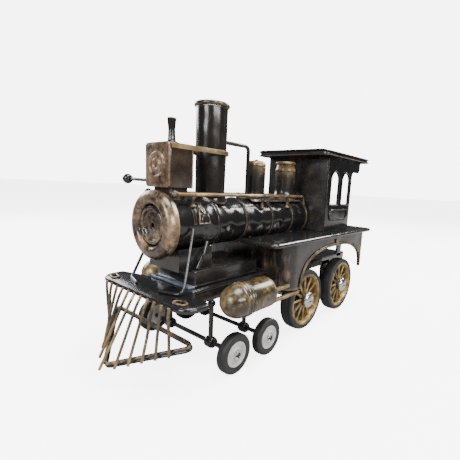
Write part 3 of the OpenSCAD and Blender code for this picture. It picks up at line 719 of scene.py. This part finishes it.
strip_x, strip_z = np.meshgrid(np.linspace(77.2, 79.2, 5), np.linspace(86, 97.5, 16), indexing="ij")
tab = [np.stack([strip_x, np.sqrt(r ** 2 - (strip_z - AXIS) ** 2), strip_z], -1) for r in (16.95, 16.4)]
build("pressed_badges", ["side_badges"],
      [*both(shell(on_drum(radius), on_drum(16.4 + 0 * radius))), *[(*one, 1) for one in both(shell(*tab))]],
      [brass_dark, streaked])


# %% [markdown]
# ## Headlamp
# The lamp is a folded box on a pedestal, with an embossed front plate, a lens boss, a flared
# chimney, and a flat gilt strap that ties it to the stack. A rod with a ball end sticks out of its
# right side. The box is solid to look at, so the rod simply starts inside it.

# %% Headlamp
corner_wires = [sweep(np.array([[75.9, y, 107], [75.9, y, 127.4]]), 0.5, 10) for y in (10.1, -10.1)]
build("folded_lamp_box", ["headlamp_box"],
      [plate([round_rect(75.5, 91.7, -10.4, 10.4, 1.0)], 106.4, 130.8, lying, 0.5),
       plate([round_rect(77, 89.5, -8, 8, 1.2)], 99.4, 106.6, lying, 0.3), *[(*w, 1) for w in corner_wires]],
      [streaked, gilt])

emboss = eased([[0, 0], [7.5, 0], [7.4, 0.5], [6.9, 1.1], [6.2, 1.1], [5.6, 0.4], [4.3, 0.3], [3.8, 0.6],
                [3.6, 1.2], [3.0, 1.5], [2.1, 1.3], [1.6, 0.7], [0, 0.5]], 0.3, 3)
build("embossed_lamp_plate", ["headlamp_front"],
      [plate([round_rect(-11.1, 11.1, 106.4, 130.9, 2.2)], 91.65, 92.8, facing_front, 0.4),
       spin(emboss, "X", (92.6, 0, 118.6), 80)], copper)

flue = eased([[0, 0], [4.7, 0], [4.7, 0.9], [2.4, 1.6], [2.1, 4], [1.95, 8], [2.4, 12.6], [2.6, 14.2],
              [2.3, 14.5], [1.6, 14.2], [1.3, 9], [0, 9]], 0.5, 3)
build("lamp_flue", ["headlamp_chimney"], [spin(flue, "Z", (83, 0, 130.8), 48)], streaked)

STACK_X = 52.5
loop_outline = np.vstack([arc(STACK_X, 0, 11.4, 90, 270, 40), [[91.3, -11.4], [91.3, -10.5]],
                          arc(STACK_X, 0, 10.4, 270, 90, 40), [[91.3, 10.5], [91.3, 11.4]]])
build("lamp_strap", ["headlamp_strap"],
      [plate([loop_outline], 127.7, 130.5, lying, 0.3)], gilt)

ROD_X, ROD_Z = 88.6, 110.3
rod_path = np.array([[ROD_X, -37, ROD_Z], [ROD_X, -20, 110.0], [ROD_X, -10, 110.2], [ROD_X, 7.5, ROD_Z]])
build("marker_bar", ["marker_rod"],
      [sweep(rod_path, 1.0, 14), ball((ROD_X, -38, ROD_Z), 3.15, "Y"),
       spin(eased([[0, 0], [1.9, 0], [1.9, 1.4], [0, 1.4]], 0.4), "Y", (ROD_X, -35.6, ROD_Z), 32)], enamel)


# %% [markdown]
# ## Stack and pipe
# The stack widens a little upward and ends in a rolled bead. Its foot is a flared flange cut to the
# boiler's curve, which the saddled ring makes without a boolean.

# %% Stack, flange and pipe
level = np.linspace(0, 1, 60)
wall = np.vstack([np.column_stack([9.6 + 0.6 * level, 52.8 * level]), [[8.5, 52.8], [8.5, 0]]])
build("beaten_stack", ["stack_tube"],
      [spin(wall, "Z", (STACK_X, 0, 103.7), 112, True, hollows(0.2, 3, 0.4, 0.16))], streaked)
build("rolled_stack_bead", ["stack_rim"], [ring(9.85, 1.38, "Z", (STACK_X, 0, 158))],
      gilt)
flange = [[9.7, 0], [9.9, 0.2], [10.2, 0.55], [10.7, 0.85], [11.2, 1], [10.6, 1.02], [8.6, 0.9], [8.6, 0]]
build("stack_flange", ["stack_base"],
      [saddled(STACK_X, 103.6, flange, 16.6, True)], streaked)
pipe = bent([[42.4, 0, 137.5], [30, 0, 137.4], [15.9, 0, 137.5], [15.9, 0, 120], [15.9, 0, 102.3]], 4.2, 10)
build("steam_pipe_bend", ["bent_pipe"], [sweep(pipe, 1.35, 16)], enamel)


# %% [markdown]
# ## Domes
# Two drums stand on the curved plate and carry spun caps. The sand dome's cap is rounded, the steam
# dome's has a bright cone under a flat disc. Rubbing is strongest on the caps.

# %% Domes
SAND_X, STEAM_X, PLATE_TOP = 6, -33, 17.3
low_rows = [[0, 0.02], [6.8, 0], [7.2, 0.02], [7.2, 0.4], [7.15, 0.7], [7.2, 0.9], [7.7, 1], [6.4, 1.01],
            [6.2, 0.9], [6.2, 0.1], [0, 0.1]]
tall_rows = [[0, 0.02], [8.1, 0], [8.5, 0.02], [8.5, 0.4], [8.45, 0.7], [8.6, 0.88], [9.3, 0.92],
             [9.6, 1], [7.4, 1.01], [7.2, 0.9], [7.2, 0.1], [0, 0.1]]
for name, node, x, top, rows in (("sand_dome_drum", "sand_dome", SAND_X, 124.3, low_rows),
                                 ("steam_dome_drum", "steam_dome", STEAM_X, 122.8, tall_rows)):
    build(name, [node], [saddled(x, top, rows, PLATE_TOP)], brass_dark)
round_cap = eased([[0, 0], [7.3, 0], [7.4, 0.8], *arc(4.2, 0.9, 3.1, 10, 80, 6), [2.4, 4], [0.9, 4.9],
                   [0, 5.2]], 0.5)
cone_cap = eased([[0, 0], [8.6, 0], [8.6, 1.4], [7.4, 5], [7.1, 5.6], [8.6, 6], [8.6, 7.5], [7.6, 8.2],
                  [0, 8.6]], 0.35)
build("spun_dome_caps", ["dome_caps"],
      [spin(round_cap, "Z", (SAND_X, 0, 124.4), 72), spin(cone_cap, "Z", (STEAM_X, 0, 122.9), 72)], brass)


# %% [markdown]
# ## Saddle and cylinders
# Black folded blocks carry the smokebox. A rolled edge runs round their foot, with a pale bluish strip in
# front of it: that strip's colour is a painted reflection of the light along its front edge. The
# cylinders are drums with two beads, a domed front and flat guide bars behind, all rubbed with brass.

# %% Saddle, cylinders and guide bars
foot_path = at_height(round_rect(22.9, 79.1, -18.1, 18.1, 0.9, 3), 49.9)
# The thin strip in front of the foot (material 1) gets the pale bluish sheet, a painted reflection.
build("saddle_box", ["saddle_block"],
      [block((22.4, -18.6, 49), (79.6, 18.6, 58.8), 1.0), sweep(foot_path, 0.88, 12, True),
       (*block((79.4, -18.8, 49.0), (84.2, 18.8, 50.3), 0.5), 1)], [enamel, sky_reflection_paint])
seat_arc = [[16.65 * np.sin(a), AXIS - 16.65 * np.cos(a)] for a in np.linspace(0.654, -0.654, 24)]
collar = [[-14.1, 58.8], [14.1, 58.8], [14.5, 59.4], [14.5, 71.2], [14.1, 71.8], *seat_arc,
          [-14.1, 71.8], [-14.5, 71.2], [-14.5, 59.4]]
build("saddle_seat", ["saddle_collar"],
      [strip(collar, [63, 63.3, 70, 80, 87.7, 88])], enamel)
build("steam_struts", ["steam_pipes"],
      both(sweep(bent([[76, 16.5, 60], [72.8, 17.3, 67], [69, 16.4, 75.3]], 3), 1.35, 14)), enamel)

CYLINDER_FRONT, CYLINDER_REAR = (66, 40, 43.8), (41, 40, 43.8)
barrel = eased([[8.9, 0], [9.8, 0], [10, 0.6], [9.9, 9], [10, 18.6], [9.7, 18.9], [10.05, 19.4],
                [10.6, 20.1], [10.6, 20.7], [10.05, 21.4], [10.05, 21.9], [10.6, 22.5], [10.6, 23.1],
                [10.05, 23.9], [10, 25], [8.9, 25]], 0.3, 3)
build("cylinder_drums", ["cylinders"],
      both(spin(barrel, "X", CYLINDER_REAR, 96, True, hollows(0.08, 4))), brass)
quarter = np.linspace(0, np.pi / 2, 16)
front_cover = [[0, 0], [9.9, 0], *[[9.95 * np.cos(a), 0.3 + 10.4 * np.sin(a)] for a in quarter]]
rear_cover = eased([[0, 0], [9.9, 0], [9.8, 1.6], [7.6, 2.8], [0, 3]], 0.8)
build("cylinder_covers", ["cylinder_caps"],
      both(spin(front_cover, "X", CYLINDER_FRONT, 72)) + both(spin(rear_cover, "-X", CYLINDER_REAR, 72)),
      brass)
build("guide_rails", ["guide_bars"],
      both(block((14.3, 39.65, 41.45), (37.8, 42.5, 43.55), 0.5))
      + both(block((1.1, 39.95, 34.45), (37.8, 42.8, 36.55), 0.5)), gilt)


# %% [markdown]
# ## Frame and truck
# A folded channel with lugs for the axles lies under everything. The truck is nothing but wire: four
# uprights, each with an eye at its foot.

# %% Frame, truck wires and axles
DRIVERS_X, DRIVER_Z = (-17, -78), 24
TRUCK_X, TRUCK_Z = (67.5, 36.2), 12.2
frame_shapes = [block((-118, -22, 45.9), (86, 22, 47.4), 0.5),
                *both(block((-118, 20.5, 40), (86, 22, 47), 0.4))]
for x in DRIVERS_X:
    lug = np.vstack([arc(x + 1, 23, 7, 270, 360), [[x + 8, 44], [x - 8, 44]], arc(x - 1, 23, 7, 180, 270)])
    hole = arc(x, DRIVER_Z, 2.6, 0, 345, 23)
    frame_shapes += both(plate([lug, hole], 20.5, 22, facing_side, 0.4))
for x in (-111, 3):
    frame_shapes += both(plate([round_rect(x, x + 10, 44, 72.3, 1.5)], 20.5, 22, facing_side, 0.4))
frame_shapes += both(block((44, 21, 42.7), (58, 31.0, 44.9), 0.5))
build("folded_frame", ["main_frame"], frame_shapes, enamel)

posts = []
eye = eased([[1.6, -3.1], [3.2, -3.1], [3.6, -1.6], [3.6, 1.6], [3.2, 3.1], [1.6, 3.1]], 0.6)
for x in TRUCK_X:
    posts += both(sweep(np.array([[x, 20.5, 15.4], [x + 0.3, 20.7, 26], [x, 20.5, 39.8]]), 1.5, 14))
    posts += both(spin(eye, "Y", (x, 20.5, TRUCK_Z), 40, True)) + both(ball((x, 20.5, 37.4), 2.5, "Z", 0.9))
build("truck_wires", ["truck_posts"], posts, enamel)


def axle_rod(x, z, end, radius, sides):
    """Straight rod across the locomotive, from -end to end."""
    return sweep(np.array([[x, -end, z], [x, 0, z], [x, end, z]]), radius, sides)


build("truck_axle_rods", ["truck_axles"],
      [axle_rod(x, TRUCK_Z, 44.5, 1.48, 18) for x in TRUCK_X], enamel)

drive = []
sleeve = eased([[2.5, 0], [3.6, 0], [3.6, 7.1], [2.5, 7.1]], 0.4)
for x in DRIVERS_X:
    drive += [axle_rod(x, DRIVER_Z, 38.6, 2.48, 24), *both(spin(sleeve, "Y", (x, 22.1, DRIVER_Z), 40, True))]
build("driver_axle_rods", ["driver_axles"], drive, steel)


# %% [markdown]
# ## Fender housing
# The housing over the wheels is one bent sheet. A path runs round its plan; at each station the
# sheet spans from its lower edge (which rises over the wheel arch) to its upper edge (which dips
# under the boiler). A small wave keeps the sides from being dead flat.

# %% Fender housing and arch beads
ARCH_X, ARCH_HALF = -53.5, 53


def arch(x, grow=0.0):
    """Height of the arch's edge: base + rise (1 - |u|^p)^(1/p), a superellipse."""
    u = np.clip(np.abs((x - ARCH_X) / (ARCH_HALF + grow)), 0, 1)
    return 38 + (25.5 + grow) * (1 - u ** 2.6) ** (1 / 2.6)


def fender_plan(inset):
    """Half of the plan from the skirt's rear end to the middle of the front wall."""
    turn = np.linspace(np.pi, 0, 90)
    skirt_x = np.concatenate([[-112, -109, -107], ARCH_X + ARCH_HALF * np.cos(turn), [0.5, 3.5, 7]])
    corner = arc(7, 33.5, 9 - inset, 90, 0, 14)[1:]
    front_y = np.concatenate([np.linspace(33, 22.62, 8)[1:], [22.6], np.linspace(22, 11, 10),
                              np.linspace(10.7, 0, 20)])
    skirt = np.column_stack([skirt_x, np.full(len(skirt_x), 42.5 - inset)])
    wall = np.column_stack([np.full(len(front_y), 16 - inset), front_y])
    return np.vstack([skirt, corner, wall])


def fender_skin(inset):
    """Grid of the housing's skin: stations along the plan, 24 heights at each."""
    half = fender_plan(inset)
    line = fender_plan(0)
    on_wall = line[:, 0] > 15.99
    low = np.where(on_wall & (line[:, 1] < 22.61), 49.6, np.where(line[:, 0] < 1, arch(line[:, 0]), 38))
    dip = AXIS - np.sqrt(np.clip(16.6 ** 2 - line[:, 1] ** 2, 0, None))
    high = np.where(on_wall & (line[:, 1] < 11), np.minimum(72.3, dip), 72.3)
    share = np.linspace(0, 1, 24)[None, :]
    z = low[:, None] + (high - low)[:, None] * share
    wave = 0.22 * (1 + np.sin(0.09 * line[:, :1] + 0.21 * z) * np.cos(0.13 * z + 0.05 * line[:, :1])) / 2
    y = half[:, 1:] - np.where(on_wall[:, None], 0, wave)
    left = np.stack([half[:, :1] + 0 * z, y, z], -1)
    return np.concatenate([left, (left * [1, -1, 1])[-2::-1]])


fender_paint = painted("fender_rubbed", (0.014, 0.012, 0.011), (0.50, 0.32, 0.19), (0.17, 0.11, 0.07), 0.5,
                       stretch=(1, 1, 0.2), edge=0.4, metal=0.7, fade=(-0.006, 0.012, 0.02, 0.5))
build("bent_fender_sheet", ["fender_housing"],
      [shell(fender_skin(0), fender_skin(1.15))], fender_paint)

turn = np.linspace(0, np.pi, 100)
beads = []
for grow in (0.85, 2.1):
    xs = ARCH_X + (ARCH_HALF + grow) * np.cos(turn)
    line = np.column_stack([xs, np.full(100, 43.05), arch(xs, grow)])
    beads += both(sweep(line, 0.52, 12))
beads += both(block((-55, 42.5, 66.0), (-52.2, 43.6, 69.4), 0.4))
build("arch_beads", ["arch_trims"], beads, gilt)


# %% [markdown]
# ## Footplate and cab
# The footplate's rim is rolled like the deck's. The cab is flat sheet with arched windows, each
# ringed by a bead, and one long bead below them.

# %% Footplate and cab
def foot_outline(inset):
    """Footplate with its boiler slot open to the front, anticlockwise."""
    r = 5 - inset
    front, end, side = 37 - inset, -50.9 - inset, 13 + inset
    slot = [[front, -side], [end, -side], [end, side], [front, side]]
    return np.vstack([arc(32, 40, r, 0, 90), arc(-123.6, 40, r, 90, 180), arc(-123.6, -40, r, 180, 270),
                      arc(32, -40, r, 270, 360), slot])


build("rolled_footplate", ["footplate"],
      [plate([foot_outline(0.9)], 72.6, 73.96, lying),
       sweep(at_height(foot_outline(1.6), 72.42), 1.52, 14, True)], enamel)

build("cab_front_sheet", ["cab_front"],
      [plate([round_rect(-29.8, 29.8, 74, 140.5, 0.6, 3)], -52.7, -51.5, facing_front)], enamel)


def window(x, grow=0.0):
    """Arched window: straight jambs under a half circle."""
    r = 7.5 + grow
    return np.vstack([[[x - r, 97.5 - grow], [x + r, 97.5 - grow]], arc(x, 117.5, r, 0, 180, 24)])


def cab_bead(line):
    """Raised wire along a closed outline on the cab's side."""
    return sweep(np.column_stack([line[:, 0], np.full(len(line), 31.4), line[:, 1]]), 0.68, 12, True)


WINDOWS_X = (-65, -86.5)
side_line = np.vstack([[[-51.6, 74], [-51.6, 140.5], [-117, 140.5]], arc(-113, 131, 4, 180, 270),
                       arc(-104, 123, 4, 90, 0), [[-100, 74]]])
build("cab_side_sheets", ["cab_sides"],
      both(plate([side_line, *[window(x) for x in WINDOWS_X]], 29.8, 31, facing_side)), enamel)

outlines = [eased(np.vstack([window(x, 0.75), window(x, 0.75)[:2]]), 0.5, 2)[1:-1] for x in WINDOWS_X]
outlines.append(round_rect(-94.4, -58.6, 83.6, 92.4, 4.3, 12))
build("window_beads", ["window_frames"],
      [shape for line in outlines for shape in both(cab_bead(line))], enamel)


# %% [markdown]
# ## Roof
# Rings of one outline are stacked from the inside of the roof, round its turned-down edge, and over
# the top to the middle, so both skins are one closed surface with a pole at each end.

# %% Roof
ROOF_MIDDLE, ROOF_CROWN, ROOF_CURVE = [-83.55, 0], 144.7, 180


def roof_ring(inset, scale, drop):
    """Round rectangle at an inset, shrunk to a share, z = crown's curve across minus drop."""
    line = round_rect(-128.5 + inset, -38.6 - inset, -36.9 + inset, 36.9 - inset, max(6 - inset, 1), 10)
    line = ROOF_MIDDLE + (line - ROOF_MIDDLE) * scale
    z = ROOF_CROWN - ROOF_CURVE + np.sqrt(ROOF_CURVE ** 2 - line[:, 1] ** 2) - drop
    z = z - 0.12 * (1 + np.sin(0.11 * line[:, 0]) * np.cos(0.15 * line[:, 1])) / 2
    return np.column_stack([line, z])


shares = [0.98, 0.9, 0.78, 0.62, 0.45, 0.28, 0.12, 0.0]
lower_edge = [at_height(roof_ring(inset, 1, 0), z) for inset, z in ((1.1, 137.5), (0.4, 137.2), (0, 137.7))]
rounded = [roof_ring(2.4 * (1 - np.sin(a)), 1, 2.4 * (1 - np.cos(np.pi / 2 - a)))
           for a in np.linspace(0, np.pi / 2, 8)]
rings = np.array([*[roof_ring(2.2, s, 1.1) for s in shares[::-1]], roof_ring(1.2, 1, 1.9), *lower_edge,
                  *rounded, *[roof_ring(2.4, s, 0) for s in shares]])
build("curved_roof", ["roof"],
      [(rings.reshape(-1, 3), grid_faces(len(rings), rings.shape[1], False, True))], roof_paint)


# %% [markdown]
# ## Wheels
# A driving wheel is a thick tyre with a paler worn band, pressed on a gilt centre: a rim, a hub and
# twelve tapered spokes set back from the face. Left and right differ only in which way is out.

# %% Driving wheels
worn_rubber = plain("worn_rubber", (0.045, 0.045, 0.046), (0.02, 0.02, 0.021), 130.0, 0.6)
hub_paint = painted("hub_rubbed", (0.03, 0.02, 0.014), (0.42, 0.27, 0.14), (0.2, 0.11, 0.05), 0.5, metal=0.5,
                    rough=(0.4, 0.5), dent_depth=0.1)
tyre_side = [[20.5, -5], *arc(22, -3.2, 1.8, -90, -10, 6), [23.85, -2.4]]
tyre_band = [[23.85, -2.4], [24, -1.9], [24, 1.9], [23.85, 2.4]]
tyre_face = [[23.85, 2.4], *arc(22, 3.2, 1.8, 10, 90, 6), [21.2, 4.9], [20.5, 4.4], [20.5, -5]]
rim_wall = eased([[17.9, -5], [20.4, -5], [20.4, 4.6], [19.6, 5], [18.6, 4.7], [17.9, 3.8]], 0.3, 3)
web_disc = [[5, -3.8], [19.4, -3.8], [19.4, -2.4], [12, -2.6], [5, -2.4]]
hub_wall = eased([[2.6, -5], [5.2, -5], [5.4, -4], [5.4, 3.6], [4.9, 4.6], [2.6, 4.6]], 0.4, 3)
reach_out = np.linspace(4.6, 18.6, 8)
spoke_width = np.interp(reach_out, [4.6, 7, 16, 18.6], [1.35, 1.0, 0.8, 1.1])


def wheel_places(kind, places_x, y, z):
    """Body, outward axis and centre of each wheel: front left, front right, rear left, rear right."""
    return [(f"{kind}_{axle}_{side}", axis, (x, sign * y, z)) for axle, x in zip(("front", "rear"), places_x)
            for side, axis, sign in (("left", "Y", 1), ("right", "-Y", -1))]


for body, axis, centre in wheel_places("driver", DRIVERS_X, 34.5, DRIVER_Z):
    tyre = [(*spin(part, axis, centre, 128), number) for part, number in
            ((tyre_side, 0), (tyre_band, 1), (tyre_face, 0))]
    build(body + "_rubber", [body + "_tyre"], tyre, [rubber, worn_rubber], body)
    spokes = []
    for a in np.arange(12) * TAU / 12:
        line = np.column_stack([reach_out * np.cos(a), reach_out * np.sin(a), np.full(8, 1.8)])
        spokes.append((*sweep(turned(line, axis, centre), spoke_width, 12), 0))
    build(body + "_centre", [body + "_wheel"],
          [(*spin(rim_wall, axis, centre, 112, True), 0), (*spin(hub_wall, axis, centre, 64, True), 1),
           (*spin(web_disc, axis, centre, 96, True), 2), *spokes], [wheel_gold, hub_paint, enamel], body)


# %% [markdown]
# ## Truck wheels, screws and clips
# The small wheels are rubber rings on pale plastic hubs, kept on by spring clips. The screw heads
# are a dome with a slot: a grid whose lines run along the slot, so its walls stay crisp.

# %% Truck wheels, screws and clips
small_tyre = [[7.8, -3], *arc(10.7, -1.5, 1.5, -90, 0, 6), *arc(10.7, 1.5, 1.5, 0, 90, 6), [8.4, 2.9],
              [7.8, 2.5]]
hub_face = eased([[1.55, -3], [7.75, -3], [7.75, 2.7], [6.9, 2.8], [6.2, 2.1], [5.6, 2.1], [5.3, 2.4],
                  [5.0, 2.1], [4.3, 2.1], [3.7, 2.9], [1.55, 2.9]], 0.3, 3)
for body, axis, centre in wheel_places("truck", TRUCK_X, 40.5, TRUCK_Z):
    build(body + "_rubber", [body + "_tyre"], [spin(small_tyre, axis, centre, 96, True)],
          rubber, body)
    build(body + "_plastic", [body + "_hub"], [spin(hub_face, axis, centre, 80, True)],
          grey_plastic, body)

SCREW_R = 6.15
across = np.concatenate([-SCREW_R * np.cos(np.linspace(0, 1.46, 20)), [-0.64, -0.56, 0.56, 0.64],
                         SCREW_R * np.cos(np.linspace(1.46, 0, 20))])
a, b = np.meshgrid(across, np.sin(np.linspace(-np.pi / 2, np.pi / 2, 40)), indexing="ij")
b = b * np.sqrt(np.clip(SCREW_R ** 2 - a ** 2, 0, None))
crown = 0.8 + 3 * np.sqrt(np.clip(1 - (a ** 2 + b ** 2) / 6.2 ** 2, 0, 1))
crown = np.where(np.abs(a) < 0.6, np.minimum(crown, 3.0), crown)
screws = []
for _, axis, centre in wheel_places("driver", DRIVERS_X, 39.7, DRIVER_Z):
    head, base = [turned(np.stack([a, b, c], -1).reshape(-1, 3), axis, centre) for c in (crown, 0 * crown)]
    screws.append(shell(head.reshape(*a.shape, 3), base.reshape(*a.shape, 3)))
build("domed_screws", ["axle_screws"], screws, steel)

clips = []
for x in TRUCK_X:
    c_shape = np.vstack([arc(x, TRUCK_Z, 3.35, 20, 340, 30), arc(x, TRUCK_Z, 1.6, 340, 20, 30)])
    clips += both(plate([c_shape], 43.7, 44.65, facing_side, 0.2))
build("spring_clips", ["axle_clips"], clips, steel)


# %% [markdown]
# ## Studio
# A pale floor, five soft lights and a camera low beside the front corner. The overhead light and
# the side strip make the long highlights on the enamel, the one high at the rear lights the top of
# the boiler, and two weak ones fill the far side and the front. The floor and the world shine for
# the camera only, so the background is white but does not wash out the black paint.

# %% Floor, lights and camera
def floor_material():
    """Pale paper with a faint mottle: white to the camera, darker to light that bounces off it."""
    material = plain("studio_paper", (0.93, 0.93, 0.925), (0.90, 0.90, 0.895), 8.0, 0.75)
    tree = material.node_tree
    shader = tree.nodes["Principled BSDF"]
    seen = tree.nodes.new("ShaderNodeLightPath").outputs["Is Camera Ray"]
    shader.inputs["Emission Color"].default_value = (1, 1, 1, 1)
    tree.links.new(maths(tree, "MULTIPLY", seen, 5.0), shader.inputs["Emission Strength"])
    paper = shader.inputs["Base Color"].links[0].from_socket
    tree.links.new(blend_colour(tree, seen, (0.34, 0.33, 0.32, 1), paper), shader.inputs["Base Color"])
    return material


floor_points = np.array([[-1, -1, 0], [1, -1, 0], [1, 1, 0], [-1, 1, 0]]) * 9000 * MM
floor_mesh = bpy.data.meshes.new("studio_floor")
floor_mesh.from_pydata(floor_points.tolist(), [], [(0, 1, 2, 3)])
floor_mesh.materials.append(floor_material())
floor = bpy.data.objects.new("studio_floor", floor_mesh)
bpy.context.scene.collection.objects.link(floor)


def softbox(name, place, target, wide, high, power, colour=(1, 1, 1)):
    """Rectangular light at a place, aimed at a target, in millimetres and watts."""
    light = bpy.data.lights.new(name, "AREA")
    light.shape, light.size, light.size_y = "RECTANGLE", wide * MM, high * MM
    light.energy, light.color = power, colour
    lamp = bpy.data.objects.new(name, light)
    lamp.location = Vector(place) * MM
    lamp.rotation_euler = (Vector(target) - Vector(place)).to_track_quat("-Z", "Y").to_euler()
    bpy.context.scene.collection.objects.link(lamp)


softbox("overhead", (20, 160, 900), (0, 0, 60), 620, 380, 13)
softbox("side_strip", (150, 800, 420), (0, 0, 80), 640, 150, 7, (1, 0.98, 0.95))
softbox("rear_high", (-900, 150, 720), (30, 0, 90), 560, 320, 14, (1, 0.97, 0.92))
softbox("far_side_fill", (60, -850, 420), (0, 0, 70), 600, 260, 7, (0.97, 0.98, 1))
softbox("front_fill", (800, 60, 420), (40, 0, 80), 320, 320, 5, (0.96, 0.98, 1))
world = bpy.data.worlds.new("studio_white")
world.use_nodes = True
tree = world.node_tree
seen = tree.nodes.new("ShaderNodeLightPath").outputs["Is Camera Ray"]
tree.nodes["Background"].inputs["Color"].default_value = (1, 1, 1, 1)
glow = maths(tree, "ADD", maths(tree, "MULTIPLY", seen, 6.5), 0.07)
tree.links.new(glow, tree.nodes["Background"].inputs["Strength"])
bpy.context.scene.world = world

forward, up = Vector((-0.76726, -0.62043, -0.16241)), Vector((-0.09398, -0.14174, 0.98543))
camera = bpy.data.cameras.new("front_corner")
camera.sensor_width, camera.lens = 36, 25.36
camera.shift_x, camera.shift_y = -0.0543, 0.0217
camera.clip_start, camera.clip_end = 0.005, 60
eye = bpy.data.objects.new("front_corner", camera)
right = forward.cross(up)
turn_to = Matrix((right, right.cross(forward), -forward)).transposed().to_4x4()
eye.matrix_world = Matrix.Translation(Vector((199.75, 159.07, 109.36)) * MM) @ turn_to
bpy.context.scene.collection.objects.link(eye)
bpy.context.scene.camera = eye
print("studio ready")
